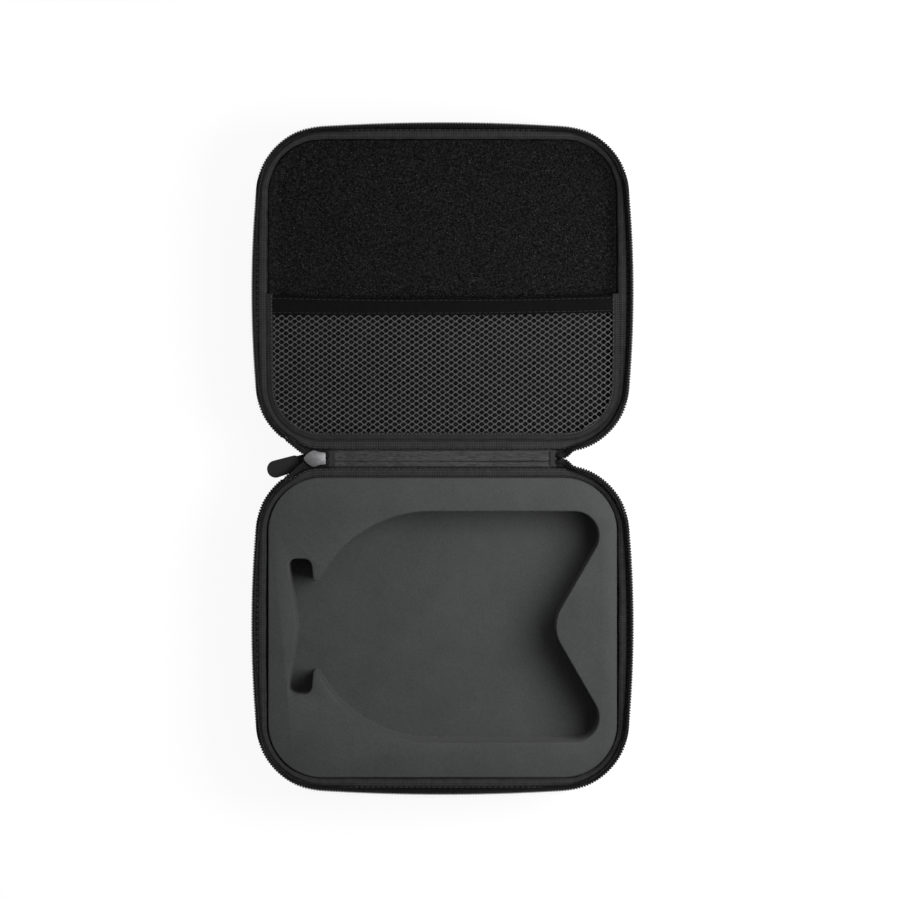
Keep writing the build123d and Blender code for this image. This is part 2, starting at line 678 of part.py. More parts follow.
with BuildPart() as pocket_mesh:
    with BuildSketch(Plane.XY.offset(POCKET_TOP)):
        add(mesh_plan)
        Rectangle(RIM_LENGTH, 2 * (POCKET_REACH - BAND_WIDTH), mode=Mode.INTERSECT)
    extrude(amount=-MESH_THICKNESS)
pocket_mesh.part.label = "pocket_mesh"
export_step(pocket_mesh.part, "parts/pocket_mesh.step")
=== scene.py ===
"""Goggles case: the visible cloth, foam, zip and net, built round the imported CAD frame.

The frame is read at the top. Lengths are millimetres unless a name says otherwise, and are turned
to metres where a mesh is made. The base half lies towards -Y and the lid half towards +Y.
"""

import math
from collections import namedtuple

import bmesh
import bpy
import numpy as np
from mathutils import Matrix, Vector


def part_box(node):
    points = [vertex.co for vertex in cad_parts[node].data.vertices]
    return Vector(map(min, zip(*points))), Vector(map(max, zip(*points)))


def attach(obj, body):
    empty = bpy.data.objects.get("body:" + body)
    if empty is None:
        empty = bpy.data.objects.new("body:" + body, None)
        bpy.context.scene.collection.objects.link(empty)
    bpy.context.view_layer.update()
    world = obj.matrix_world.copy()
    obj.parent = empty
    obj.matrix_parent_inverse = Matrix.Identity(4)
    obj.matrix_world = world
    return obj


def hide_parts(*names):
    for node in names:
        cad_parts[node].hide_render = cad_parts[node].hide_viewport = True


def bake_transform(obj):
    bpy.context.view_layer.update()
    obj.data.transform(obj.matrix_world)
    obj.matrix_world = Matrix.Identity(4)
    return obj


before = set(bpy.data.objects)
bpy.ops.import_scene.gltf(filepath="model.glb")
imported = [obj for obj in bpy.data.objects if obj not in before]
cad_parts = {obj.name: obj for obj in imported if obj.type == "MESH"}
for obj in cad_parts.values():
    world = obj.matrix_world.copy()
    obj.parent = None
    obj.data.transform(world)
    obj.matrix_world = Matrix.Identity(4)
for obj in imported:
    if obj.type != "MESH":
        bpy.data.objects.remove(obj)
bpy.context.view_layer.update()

bl_info = {
    "name": "Goggles case",
    "version": (1, 0, 0),
    "blender": (4, 5, 0),
    "location": "View3D > Sidebar > Case",
    "description": "Builds the visible pieces of a zipped goggles case round its CAD frame",
    "category": "Object",
}

MM = 0.001
UP = np.array([0.0, 0.0, 1.0])
HALVES = (("base", -1), ("lid", 1))
HALF_AT = {toward: half for half, toward in HALVES}
RIM_BOW = (1.2, 0.6)  # how far a plan bows out at its sides and at its front
ZIP_BOW = (6.7, 4.8)
CORNER_DRAW = 1.3  # how far the rim is drawn in round a corner, under the zip
CORNER_LEAN = math.radians(72)  # how far the zip rolls outwards there
RAIL_STEP = 0.4
COIL_WIDTH = 2.6
TAPE_THICK = 0.44
SHELL_DRAFT = math.radians(3)
SHELL_COLLAR = 9.0  # height of the shells' upright collar
SHELL_BEND = 15.0  # outer radius between wall and floor
SHELL_WALL = 3.1
Path = namedtuple("Path", "xy out s")
Rail = namedtuple("Rail", "at run side head")


def linear(code):
    """A hex sRGB colour as the linear values that a shader takes."""
    parts = [int(code[i : i + 2], 16) / 255 for i in (1, 3, 5)]
    return tuple(p / 12.92 if p <= 0.04045 else ((p + 0.055) / 1.055) ** 2.4 for p in parts)


def extent(node):
    """Lowest and highest corner of a CAD node, in millimetres."""
    low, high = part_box(node)
    return np.array(low) / MM, np.array(high) / MM


def length_property(name, description, default):
    return bpy.props.FloatProperty(
        name=name, description=description, default=default * MM, min=0, unit="LENGTH"
    )


def colour_property(name, description, code):
    return bpy.props.FloatVectorProperty(
        name=name, description=description, default=linear(code), size=3, min=0, max=1, subtype="COLOR"
    )


class CaseSizes(bpy.types.PropertyGroup):
    """Sizes of the small repeats, which the CAD frame doesn't hold."""

    rim_corner: length_property("Rim corner", "Corner radius of the rim", 37.0)
    zip_corner: length_property("Zip corner", "Corner radius of the zip", 41.0)
    coil_pitch: length_property("Coil pitch", "Distance between two turns of the zip coil", 1.6)
    coil_wire: length_property("Coil wire", "Thickness of the coil's nylon wire", 0.84)
    stitch: length_property("Stitch", "Length of one stitch", 2.4)
    stitch_gap: length_property("Stitch gap", "Distance from one stitch to the next", 0.8)
    thread: length_property("Thread", "Thickness of the sewing thread", 0.42)
    net_across: length_property("Net across", "Distance between the net's holes along a row", 5.0)
    net_along: length_property("Net along", "Distance between the net's holes down a column", 3.38)
    net_strand: length_property("Net strand", "Width of the net's strands", 0.70)
    foam_edge: length_property("Foam edge", "Rounding of the foam's cut edges", 0.8)


class CaseColours(bpy.types.PropertyGroup):
    """Colours of the finishes."""

    shell: colour_property("Shell cloth", "Polyester cloth over the moulded shells", "#262627")
    lining: colour_property("Lining", "Knitted lining inside the shells", "#19191a")
    binding: colour_property("Binding", "Ribbed tape folded over the rims", "#2f2f30")
    tape: colour_property("Zip tape", "Woven tape of the zip", "#222223")
    coil: colour_property("Zip coil", "Nylon coil of the zip", "#060606")
    thread: colour_property("Thread", "Sewing thread", "#4a4a4b")
    foam: colour_property("Insert foam", "Closed-cell foam of the insert", "#494a4a")
    strip: colour_property("Hinge cloth", "Cloth strip between the halves", "#3b3b3c")
    web: colour_property("Hinge web", "Webbing on the outside of the hinge", "#232324")
    metal: colour_property("Slider", "Die-cast zinc alloy of the slider", "#a9a9ab")
    wire: colour_property("Link", "Painted steel wire of the pull's link", "#1b1b1c")
    rubber: colour_property("Pull tab", "Moulded rubber of the pull tab", "#1f1f20")
    sponge: colour_property("Sponge", "Open-cell sponge of the lid pad", "#151515")
    net: colour_property("Net", "Knitted nylon net of the pocket", "#7d7d7e")
    band: colour_property("Elastic", "Woven elastic at the pocket's mouth", "#101011")


def size(key):
    """One of the sizes, in millimetres."""
    return getattr(bpy.context.scene.goggle_case_sizes, key) / MM


def colour_of(key, strength=1.0):
    """One of the colours, made darker where the strength is under 1."""
    return tuple(strength * part for part in getattr(bpy.context.scene.goggle_case_colours, key))


# ---- Arithmetic on arrays of points ------------------------------------------------------------


def unit(vectors):
    return vectors / np.linalg.norm(vectors, axis=-1, keepdims=True)


def share_of(value, start, width):
    """How far a value has come from start over a width, from 0 to 1."""
    return np.clip((value - start) / width, 0, 1)


def eased(share):
    """A share from 0 to 1, made gentle at both ends."""
    return share * share * (3 - 2 * share)


def lifted(xy, z):
    """Plan points, or insets, given a height each or one for them all."""
    return np.concatenate([xy, np.broadcast_to(z, np.shape(xy)[:-1])[..., None]], -1)


def lengths(points, closed):
    """Distances along a row of points, with one more for the return to the start if it is closed."""
    if closed:
        points = np.concatenate([points, points[:1]])
    return np.concatenate([[0], np.cumsum(np.linalg.norm(np.diff(points, axis=0), axis=1))])


def soft_noise(x, y, scale, seed):
    """Smooth noise from 0 to 1 with features of a given size."""
    cells = 97
    grid = np.random.default_rng(seed).random((cells, cells))
    x, y = np.broadcast_arrays(np.asarray(x, float) / scale, np.asarray(y, float) / scale)
    i, j = np.floor(x).astype(int), np.floor(y).astype(int)
    u, v = eased(x - i), eased(y - j)
    i, j, i1, j1 = i % cells, j % cells, (i + 1) % cells, (j + 1) % cells
    low = grid[i, j] * (1 - u) + grid[i1, j] * u
    high = grid[i, j1] * (1 - u) + grid[i1, j1] * u
    return low * (1 - v) + high * v


def uneven(x, y, scale, seed):
    """Smooth noise from -0.5 to 0.5."""
    return soft_noise(x, y, scale, seed) - 0.5


# ---- Paths round the two halves ----------------------------------------------------------------


def arc(centre, radius, start, end):
    """Points and outward normals along an arc, every quarter of a millimetre."""
    angles = np.linspace(start, end, max(8, int(abs(end - start) * radius * 4)))
    out = np.stack([np.cos(angles), np.sin(angles)], 1)
    return centre + radius * out, out


def angle_of(vector):
    return math.atan2(vector[1], vector[0])


def bowed_plan(node, corner, bow, toward):
    """The plan of one half as a closed path: straight at the hinge, bowed on the other sides."""
    low, high = extent(node)
    side_bow, front_bow = bow
    reach = (high[0] - low[0]) / 2
    near, far = sorted((abs(low[1]), abs(high[1])))
    front = far - front_bow
    middle, half = (near + front) / 2, (front - near) / 2
    side_radius = (half**2 + side_bow**2) / (2 * side_bow)
    side_centre = np.array([reach - side_radius, middle])
    front_radius = ((reach - side_bow) ** 2 + front_bow**2) / (2 * front_bow)
    front_centre = np.array([0, far - front_radius])
    a, b = side_radius - corner, front_radius - corner
    near_centre = np.array([0, near + corner])
    near_centre[0] = side_centre[0] + math.sqrt(a**2 - (near_centre[1] - middle) ** 2)
    between = front_centre - side_centre
    distance = np.linalg.norm(between)
    share = (a**2 - b**2 + distance**2) / (2 * distance)
    aside = np.array([-between[1], between[0]]) / distance * math.sqrt(a**2 - share**2)
    foot = side_centre + between / distance * share
    far_centre = max(foot + aside, foot - aside, key=lambda c: c[0] + c[1])
    near_end = angle_of(near_centre - side_centre)
    far_start, far_end = angle_of(far_centre - side_centre), angle_of(far_centre - front_centre)
    turns = (
        (near_centre, corner, -math.pi / 2, near_end),
        (side_centre, side_radius, near_end, far_start),
        (far_centre, corner, far_start, far_end),
        (front_centre, front_radius, far_end, math.pi / 2),
    )
    line_x = np.arange(0, near_centre[0], 0.25)
    xy = [np.stack([line_x, np.full(len(line_x), near)], 1)]
    out = [np.tile([0.0, -1.0], (len(line_x), 1))]
    for turn in turns:
        points, normals = arc(*turn)
        xy.append(points[:-1])
        out.append(normals[:-1])
    xy, out = np.concatenate(xy), np.concatenate(out)
    mirror = np.array([-1, 1])
    flip = np.array([1, toward])
    xy = np.concatenate([xy, [[0, far]], (xy[1:] * mirror)[::-1]]) * flip
    out = np.concatenate([out, [[0.0, 1.0]], (out[1:] * mirror)[::-1]]) * flip
    step = np.linalg.norm(np.roll(xy, -1, 0) - xy, axis=1)
    return Path(xy, out, np.concatenate([[0], np.cumsum(step)]))


def along(path, s):
    """Points and outward normals of a path at given distances along it."""
    s = np.mod(s, path.s[-1])
    xy, out = (
        np.stack([np.interp(s, path.s, np.append(part[:, k], part[0, k])) for k in (0, 1)], 1)
        for part in (path.xy, path.out)
    )
    return xy, unit(out)


def heading(path, s):
    """The level way forward along a path at given distances."""
    return unit(lifted(along(path, s + 0.5)[0] - along(path, s - 0.5)[0], 0.0))


def steps(path, spacing):
    """Even distances once round a path, with its length as the last."""
    return np.linspace(0, path.s[-1], round(path.s[-1] / spacing) + 1)


def nearest(path, xy, every=1):
    """The index of the point of a path that is closest to each of others."""
    return ((path.xy[None, ::every] - xy[:, None]) ** 2).sum(2).argmin(1) * every


def inset_from(path, xy, every=1):
    """How far points lie inside a path, and the way out from there."""
    closest = nearest(path, xy, every)
    out = path.out[closest]
    return ((path.xy[closest] - xy) * out).sum(1), out


def rim_path(toward):
    """The outer edge of a half's rim."""
    return bowed_plan(f"{HALF_AT[toward]}_binding", size("rim_corner"), RIM_BOW, toward)


def zip_path(toward):
    """The outer edge of a half's zip row."""
    return bowed_plan(f"{HALF_AT[toward]}_zip_coil", size("zip_corner"), ZIP_BOW, toward)


# ---- Meshes ------------------------------------------------------------------------------------


def placed(name, data):
    """A new object in the scene."""
    thing = bpy.data.objects.new(name, data)
    bpy.context.scene.collection.objects.link(thing)
    return thing


def face_outwards(mesh, merge=0.0):
    """Turns a mesh's faces outwards, once points closer than a distance are merged."""
    work = bmesh.new()
    work.from_mesh(mesh)
    if merge:
        bmesh.ops.remove_doubles(work, verts=work.verts, dist=merge * MM)
    bmesh.ops.recalc_face_normals(work, faces=work.faces)
    work.to_mesh(mesh)
    work.free()


def mesh_object(name, points, groups, corner_uv=None):
    """An object from points in millimetres and arrays of faces, with UVs in millimetres."""
    mesh = bpy.data.meshes.new(name)
    loops = np.concatenate([g.ravel() for g in groups]).astype(np.int32)
    sides = np.concatenate([np.full(len(g), g.shape[1]) for g in groups])
    starts = np.concatenate([[0], np.cumsum(sides)[:-1]]).astype(np.int32)
    points = np.asarray(points, float).reshape(-1, 3) * MM
    mesh.vertices.add(len(points))
    mesh.vertices.foreach_set("co", points.astype(np.float32).ravel())
    mesh.loops.add(len(loops))
    mesh.loops.foreach_set("vertex_index", loops)
    mesh.polygons.add(len(sides))
    mesh.polygons.foreach_set("loop_start", starts)
    if corner_uv is not None:
        layer = mesh.uv_layers.new(name="mm")
        layer.uv.foreach_set("vector", np.asarray(corner_uv, np.float32).ravel())
    mesh.update(calc_edges=True)
    mesh.validate()
    face_outwards(mesh)
    mesh.shade_smooth()
    return placed(name, mesh)


def grid_object(name, points, u, v, wrap_u=False, wrap_v=True, cap_u=True, cap_v=False):
    """A surface through a grid of points. u and v are the distances in millimetres for the UVs."""
    n, m = points.shape[:2]
    rows, columns = np.arange(n if wrap_u else n - 1), np.arange(m if wrap_v else m - 1)
    i, j = (part.ravel() for part in np.meshgrid(rows, columns, indexing="ij"))
    i1, j1 = (i + 1) % n, (j + 1) % m
    groups = [np.stack([i * m + j, i1 * m + j, i1 * m + j1, i * m + j1], 1)]
    corners = (u[i], v[j], u[i + 1], v[j], u[i + 1], v[j + 1], u[i], v[j + 1])
    corner_uv = [np.stack(corners, 1).reshape(-1, 2)]
    if cap_u:
        for row in (0, n - 1):
            groups.append((row * m + np.arange(m))[None])
            corner_uv.append(np.tile([u[row], 0.0], (m, 1)))
    if cap_v:
        for column in (0, m - 1):
            groups.append((np.arange(n) * m + column)[None])
            corner_uv.append(points[:, column, :2])
    return mesh_object(name, points, groups, np.concatenate(corner_uv))


def sweep(name, path, s, profile, tube=True, whole=True):
    """A profile of (inset, height) points carried along a path: a tube, or a wall closed by its floor."""
    rows = s[:-1] if whole else s
    xy, out = along(path, rows)
    profile = np.broadcast_to(profile, (len(rows), *np.shape(profile)[-2:]))
    points = np.concatenate([xy[:, None] - out[:, None] * profile[..., :1], profile[..., 1:]], 2)
    return grid_object(name, points, s, lengths(profile.mean(0), tube), whole, tube, not whole, not tube)


def rounded(width, height, radius, steps_per_corner=3):
    """A closed rounded rectangle about its middle, as (across, up) points."""
    radius = min(radius, width / 2, height / 2)
    x, z = width / 2 - radius, height / 2 - radius
    points = []
    for cx, cz, start in ((x, z, 0), (-x, z, 90), (-x, -z, 180), (x, -z, 270)):
        for a in np.radians(np.linspace(start, start + 90, steps_per_corner + 1)):
            points.append((cx + radius * math.cos(a), cz + radius * math.sin(a)))
    return np.array(points)


def softened(name, node, width, pick=None, segments=3):
    """A copy of a CAD node with its sharp edges rounded, or those of them that pick chooses."""
    source = bmesh.new()
    source.from_mesh(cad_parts[node].data)
    bmesh.ops.remove_doubles(source, verts=source.verts, dist=0.002 * MM)
    bmesh.ops.dissolve_limit(source, angle_limit=math.radians(0.4), verts=source.verts, edges=source.edges)
    sharp = math.radians(25)
    edges = [e for e in source.edges if len(e.link_faces) == 2 and e.calc_face_angle() > sharp]
    if pick:
        edges = [e for e in edges if pick((e.verts[0].co + e.verts[1].co) / (2 * MM))]
    bmesh.ops.bevel(
        source,
        geom=edges,
        offset=width * MM,
        segments=segments,
        profile=0.5,
        affect="EDGES",
        clamp_overlap=True,
    )
    bmesh.ops.recalc_face_normals(source, faces=source.faces)
    mesh = bpy.data.meshes.new(name)
    source.to_mesh(mesh)
    source.free()
    mesh.shade_smooth()
    mesh.set_sharp_from_angle(angle=math.radians(50))
    return placed(name, mesh)


def stitches(name, at, run, up, length, thread):
    """A row of sewn stitches: short arched threads whose ends go into the cloth."""
    stations = np.linspace(-1, 1, 7)
    turn = np.radians(np.arange(0, 360, 60))[None, None, :, None]
    run, up = np.broadcast_to(run, at.shape), np.broadcast_to(up, at.shape)
    side = np.cross(run, up)
    radius = thread / 2 * np.sqrt(1 - 0.75 * stations**2)
    lift = thread * (0.42 - 0.75 * stations**2)
    centre = at[:, None] + run[:, None] * (stations * length / 2)[:, None] + up[:, None] * lift[:, None]
    ring = side[:, None, None] * np.cos(turn) + up[:, None, None] * np.sin(turn)
    points = centre[:, :, None] + ring * radius[None, :, None, None]
    count, n, m = points.shape[:3]
    i, j = (part.ravel() for part in np.meshgrid(np.arange(n - 1), np.arange(m), indexing="ij"))
    quads = np.stack([i * m + j, (i + 1) * m + j, (i + 1) * m + (j + 1) % m, i * m + (j + 1) % m], 1)
    ends = np.stack([np.arange(m), (n - 1) * m + np.arange(m)])
    shift = (np.arange(count) * n * m)[:, None, None]
    faces = [(part[None] + shift).reshape(-1, part.shape[1]) for part in (quads, ends)]
    return mesh_object(name, points, faces)


# ---- The zip's rows ----------------------------------------------------------------------------


def coil(name, rail, height, phase=0.0):
    """A zip coil along a rail: side is the way out from the tape and head the way that the teeth point."""
    pitch, wire = size("coil_pitch"), size("coil_wire")
    wide, tall = COIL_WIDTH - wire, height - wire
    distance = lengths(rail.at, False)
    turns = int((distance[-1] - phase) // pitch)
    loop = np.roll(rounded(wide, tall, 0.75 * wide / 2), 2, 0)
    foot = loop[:, 1] < -0.3 * tall
    drift = np.cumsum(foot) / foot.sum()  # a turn steps on to the next one at its foot
    s = (phase + pitch * (np.arange(turns)[:, None] + drift[None])).ravel()
    at, run, side, head = (
        np.stack([np.interp(s, distance, part[:, k]) for k in range(3)], 1) for part in rail
    )
    across, up = np.tile(loop[:, 0], turns)[:, None], np.tile(loop[:, 1], turns)[:, None]
    centre = at + side * across + head * up
    forward = np.tile(unit(np.roll(loop, -1, 0) - np.roll(loop, 1, 0)), (turns, 1))
    normal = side * forward[:, 1:] - head * forward[:, :1]
    swell = 1.2 + 0.45 * np.clip(up / (height / 2), 0, 1) ** 2  # the wire is flattened wider at its head
    turn = np.radians(np.arange(0, 360, 360 / 7))[None, :, None]
    ring = (run * swell)[:, None] * np.cos(turn) + normal[:, None] * np.sin(turn)
    points = centre[:, None] + ring * wire / 2
    return grid_object(name, points, lengths(centre, False), np.arange(8) * wire * math.pi / 7)


def lean(out):
    """How far the zip leans outwards: not in the middle of a side, and fully round a corner."""
    off = np.degrees(np.arctan2(abs(out[:, 1]), abs(out[:, 0])))
    return eased(share_of(np.minimum(off, 90 - off), 9, 24))


def ring_rail(path, start, end, height):
    """The rail along a stretch of a half's plan, leaning outwards round the corners."""
    xy, out = along(path, np.arange(start, end, RAIL_STEP))
    share = lean(out)
    at = lifted(xy - out * (COIL_WIDTH / 2 - 0.3 * share)[:, None], height - 0.25 * share)
    out = lifted(out, 0.0)
    roll = (CORNER_LEAN * share)[:, None]
    side, head = out * np.cos(roll) - UP * np.sin(roll), UP * np.cos(roll) + out * np.sin(roll)
    return Rail(at, unit(np.gradient(at, axis=0)), side, head)


def lead_rail(rail, index, bend, stop, slack):
    """The rail of a row's end: in a bend from its ring to the zipped chain, then on and under the strip."""
    tucked, dive_length, dive_depth = 3.2, 2.6, 2.3
    t = np.linspace(0, 1, 40)[:, None]
    start = rail.at[index]
    start_run = rail.run[index] * (1 if index else -1)
    pull = np.linalg.norm(bend - start) * slack
    way = np.array([math.copysign(1, stop - bend[0]), 0, 0])
    curve = (
        (2 * t**3 - 3 * t**2 + 1) * start
        + (t**3 - 2 * t**2 + t) * start_run * pull
        + (3 * t**2 - 2 * t**3) * bend
        + (t**3 - t**2) * way * pull
    )
    x = np.arange(bend[0], stop + way[0] * tucked, way[0] * RAIL_STEP)[1:]
    dive = eased(share_of(abs(x - bend[0]), abs(stop - bend[0]) - 1.4, dive_length))
    straight = np.stack([x, np.full(len(x), bend[1]), bend[2] - dive_depth * dive], 1)
    at = np.concatenate([curve, straight])
    run = unit(np.gradient(at, axis=0))
    blend = np.concatenate([eased(t), np.ones((len(x), 1))])
    inward = np.array([0, -math.copysign(1, bend[1]), 0])
    head = rail.head[index] * (1 - blend) + inward * blend
    head = unit(head - run * (head * run).sum(1, keepdims=True))
    side = np.cross(run, head)
    side *= np.sign(side[0] @ rail.side[index])
    return Rail(at, run, side, head)


def zip_cloth(name, rail, rim, rim_top, height):
    """The tape of a zip row: from its seam on the rim's wall up to the coil, and along its inner side."""
    foot, out = along(rim, rim.s[:-1][nearest(rim, rail.at[:, :2])])
    share = lean(out)
    half_thick = TAPE_THICK / 2
    ends = (-0.5, -0.25, 0.08 - 0.18 * share[:, None])  # shares of the coil's height
    edge = [rail.at - rail.side * (COIL_WIDTH / 2 + half_thick) + rail.head * end * height for end in ends]
    low = edge[0]

    def level(share_out, inset, z):
        wall = foot - out * (inset + CORNER_DRAW * share)[:, None]
        return lifted(wall * (1 - share_out) + low[:, :2] * share_out, z)

    rise = low[:, 2]
    rows = [
        level(0, 0.30, rim_top - 3.2),
        level(0, -0.30, np.minimum(rim_top - 1.6, rise - 0.9)),
        level(0, -0.34, np.minimum(rim_top - 0.2, rise - 0.5)),
        level(0.45, -0.1, np.minimum(rim_top + 0.5, rise - 0.25)),
        level(1.0, 0, np.minimum((rim_top + 0.7 + rise) / 2, rise - 0.1)),
        *edge,
    ]
    middle = np.stack(rows, 1)
    normal = unit(np.cross(np.gradient(middle, axis=0), np.gradient(middle, axis=1)))
    points = np.concatenate([middle + normal * half_thick, (middle - normal * half_thick)[:, ::-1]], 1)
    return grid_object(name, points, lengths(rail.at, False), lengths(points[len(points) // 2], True))


def cord(name, rail, thickness):
    """The flat filler cord inside a coil, wider across the tape than it is thick."""
    turn = np.radians(np.arange(0, 360, 60))[None, :, None]
    flat = rail.side[:, None] * (np.cos(turn) * 1.05 - 0.49)
    thin = rail.head[:, None] * (np.sin(turn) * thickness / 2 + 0.3)
    points = rail.at[:, None] + (flat + thin)
    return grid_object(name, points, lengths(rail.at, False), np.arange(7) * thickness)


# ---- Patterns for the materials ----------------------------------------------------------------


def put(tree, kind, inputs=None, **settings):
    """Adds a shader node with its settings, and its inputs as values or links, and gives its outputs."""
    node = tree.nodes.new("ShaderNode" + kind)
    for key, value in settings.items():
        setattr(node, key, value)
    for key, value in (inputs or {}).items():
        if isinstance(value, bpy.types.NodeSocket):
            tree.links.new(value, node.inputs[key])
        else:
            node.inputs[key].default_value = value
    return node.outputs


def millimetres(tree, mapped=False):
    """Coordinates in millimetres: the frame's, or a mapped piece's own UVs."""
    source = put(tree, "TexCoord")
    if mapped:
        return source["UV"]
    scale = (1 / MM, 1 / MM, 1 / MM)
    return put(tree, "VectorMath", {0: source["Object"], 1: scale}, operation="MULTIPLY")[0]


def layered(tree, pattern, strength, ground):
    """A pattern laid with a given strength on another."""
    return put(tree, "Math", {0: pattern, 1: strength, 2: ground}, operation="MULTIPLY_ADD")[0]


def stripes(tree, value, spacing):
    """A wave from -1 to 1 that repeats every spacing millimetres."""
    angle = put(tree, "Math", {0: value, 1: 2 * math.pi / spacing}, operation="MULTIPLY")[0]
    return put(tree, "Math", {0: angle}, operation="SINE")[0]


def ribs(tree, value, spacing):
    """Rounded ribs side by side, from 0 in the grooves to 1 on top."""
    return put(tree, "Math", {0: stripes(tree, value, 2 * spacing)}, operation="ABSOLUTE")[0]


def weave(tree, vector, warp, weft, degrees=0.0):
    """Height of a plain weave from 0 to 1: each thread shows as a small bump, over and under in turn."""
    inputs = {"Vector": vector, "Rotation": (0, 0, math.radians(degrees))}
    axes = put(tree, "SeparateXYZ", {0: put(tree, "Mapping", inputs)[0]})
    waves = {0: stripes(tree, axes[0], 2 * warp), 1: stripes(tree, axes[1], 2 * weft)}
    return layered(tree, put(tree, "Math", waves, operation="MULTIPLY")[0], 0.5, 0.5)


def mottle(tree, vector, patch, detail=2.0, roughness=0.5):
    """Noise from 0 to 1 with patches of a given size."""
    inputs = {"Vector": vector, "Scale": 1 / patch, "Detail": detail, "Roughness": roughness}
    return put(tree, "TexNoise", inputs)[0]


def streaks(tree, vector, length, width):
    """Noise from 0 to 1 drawn out along the first axis."""
    drawn = put(tree, "Mapping", {"Vector": vector, "Scale": (1 / length, 1 / width, 1)})[0]
    return mottle(tree, drawn, 1.0, 3.0)


def cells(tree, vector, spacing):
    """Distance from the middle of round cells, in cell widths."""
    return put(tree, "TexVoronoi", {"Vector": vector, "Scale": 1 / spacing})["Distance"]


def shades(tree, value, colour, dark, light, low=0.0, high=1.0):
    """The colour made darker and lighter as value goes from low to high."""
    share = put(tree, "MapRange", {0: value, 1: low, 2: high, 3: dark, 4: light})[0]
    return put(tree, "HueSaturation", {"Color": (*colour, 1), "Value": share})[0]


def painted_shade_in_hollows(tree, colour, reach):
    """The colour made darker in seams, creases and under things: painted shade, set by how open to the air
    each point is.
    """
    open_to_air = put(tree, "AmbientOcclusion", {"Distance": reach * MM}, samples=8)["AO"]
    share = put(tree, "MapRange", {0: open_to_air, 1: 0.35, 2: 0.85, 3: 0.06, 4: 1.0})[0]
    return put(tree, "HueSaturation", {"Color": colour, "Value": share})[0]


def mottled(colour, patch, dark, light, detail=2.0, mapped=False):
    """A tint in darker and lighter patches of a given size."""

    def tint(tree):
        patches = mottle(tree, millimetres(tree, mapped), patch, detail)
        return shades(tree, patches, colour, dark, light, 0.3, 0.7)

    return tint


def grained(grain, detail=2.0, roughness=0.5):
    """A height of fine grain of a given size."""
    return lambda t: mottle(t, millimetres(t), grain, detail, roughness)


def rubbed(patch, shiny, dull, detail=2.0):
    """A roughness that changes in patches of a given size, where the surface was rubbed."""
    return lambda t: put(t, "MapRange", {0: grained(patch, detail)(t), 1: 0.3, 2: 0.7, 3: shiny, 4: dull})[0]


def surface(name, tint, roughness, height, depth, **settings):
    """A principled material. roughness is a value or a pattern, and depth is that of the height's bumps."""
    material = bpy.data.materials.new(name)
    material.use_nodes = True
    tree = material.node_tree
    tree.nodes.clear()
    bump = {"Height": height(tree), "Distance": depth * MM, "Strength": 1.0}
    inputs = {
        "Base Color": tint(tree),
        "Roughness": roughness(tree) if callable(roughness) else roughness,
        "Normal": put(tree, "Bump", bump)[0],
        **settings,
    }
    put(tree, "OutputMaterial", {"Surface": put(tree, "BsdfPrincipled", inputs)[0]})
    return material


# ---- Materials ---------------------------------------------------------------------------------


def laminated_polyester(colour):
    """Polyester cloth bonded to EVA foam and hot moulded: a flat, matt plain weave."""

    def height(t):
        threads = weave(t, millimetres(t, True), 0.9, 0.9)  # 0.4 mm, drawn at 0.9 so that they show
        return layered(t, threads, 1.0, mottle(t, millimetres(t, True), 0.5))

    soft = {"Sheen Weight": 0.1, "Sheen Roughness": 0.5, "Specular IOR Level": 0.35}
    tint = mottled(colour, 9.0, 0.88, 1.12, mapped=True)
    return surface("laminated polyester", tint, 0.82, height, 0.12, **soft)


def brushed_knit(colour):
    """Brushed polyester knit: short raised fibres, no gloss."""
    soft = {"Sheen Weight": 0.15, "Sheen Roughness": 0.4, "Specular IOR Level": 0.2}
    tint = mottled(colour, 0.8, 0.7, 1.3)
    return surface("brushed knit", tint, 0.95, grained(0.4, 4.0, 0.7), 0.2, **soft)


def ribbed_tape(colour):
    """Woven grosgrain tape: fine ribs across it, with a faint sheen where it is stretched."""

    def height(t):
        vector = millimetres(t, True)
        along_it = put(t, "SeparateXYZ", {0: vector})[0]
        return layered(t, weave(t, vector, 0.55, 0.7), 0.5, ribs(t, along_it, 1.1))  # 0.7 mm, drawn at 1.1

    def tint(t):
        vector = millimetres(t, True)
        cloth = layered(t, weave(t, vector, 1.0, 1.0, 45), 0.9, mottle(t, vector, 5.0, 3.0))
        # Painted shade darkens the binding in its seams and creases.
        return painted_shade_in_hollows(t, shades(t, cloth, colour, 0.3, 1.9, 0.4, 1.5), 2.5)

    soft = {"Sheen Weight": 0.12, "Sheen Roughness": 0.4, "Specular IOR Level": 0.3}
    return surface("woven grosgrain", tint, 0.7, height, 0.10, **soft)


def herringbone_tape(colour):
    """Woven polyester zip tape: tight diagonal twill, which shows as fine light and dark checks."""

    def twill(t):
        return weave(t, millimetres(t, True), 0.9, 1.2, 40)  # threads are 0.5 mm, drawn at about 1

    def tint(t):
        cloth = layered(t, twill(t), 0.8, mottle(t, millimetres(t, True), 2.0))
        # Painted shade darkens the tape in its seams, as where it runs under the binding.
        return painted_shade_in_hollows(t, shades(t, cloth, colour, 0.25, 1.85, 0.4, 1.3), 2.6)

    return surface("zip tape twill", tint, 0.8, twill, 0.12, **{"Specular IOR Level": 0.15})


def nylon_filament(colour):
    """Drawn nylon monofilament: smooth and softly glossy, with fine draw marks along it."""
    tint, gloss = mottled(colour, 2.0, 0.85, 1.15), rubbed(0.7, 0.34, 0.52)
    plastic = {"IOR": 1.53, "Specular IOR Level": 0.3}
    return surface("nylon monofilament", tint, gloss, grained(0.25), 0.01, **plastic)


def polyester_thread(colour):
    """Three-ply sewing thread: a twisted, slightly shiny cord."""
    tint = mottled(colour, 0.5, 0.8, 1.2)
    return surface("polyester thread", tint, 0.55, grained(0.2), 0.05, **{"Sheen Weight": 0.2})


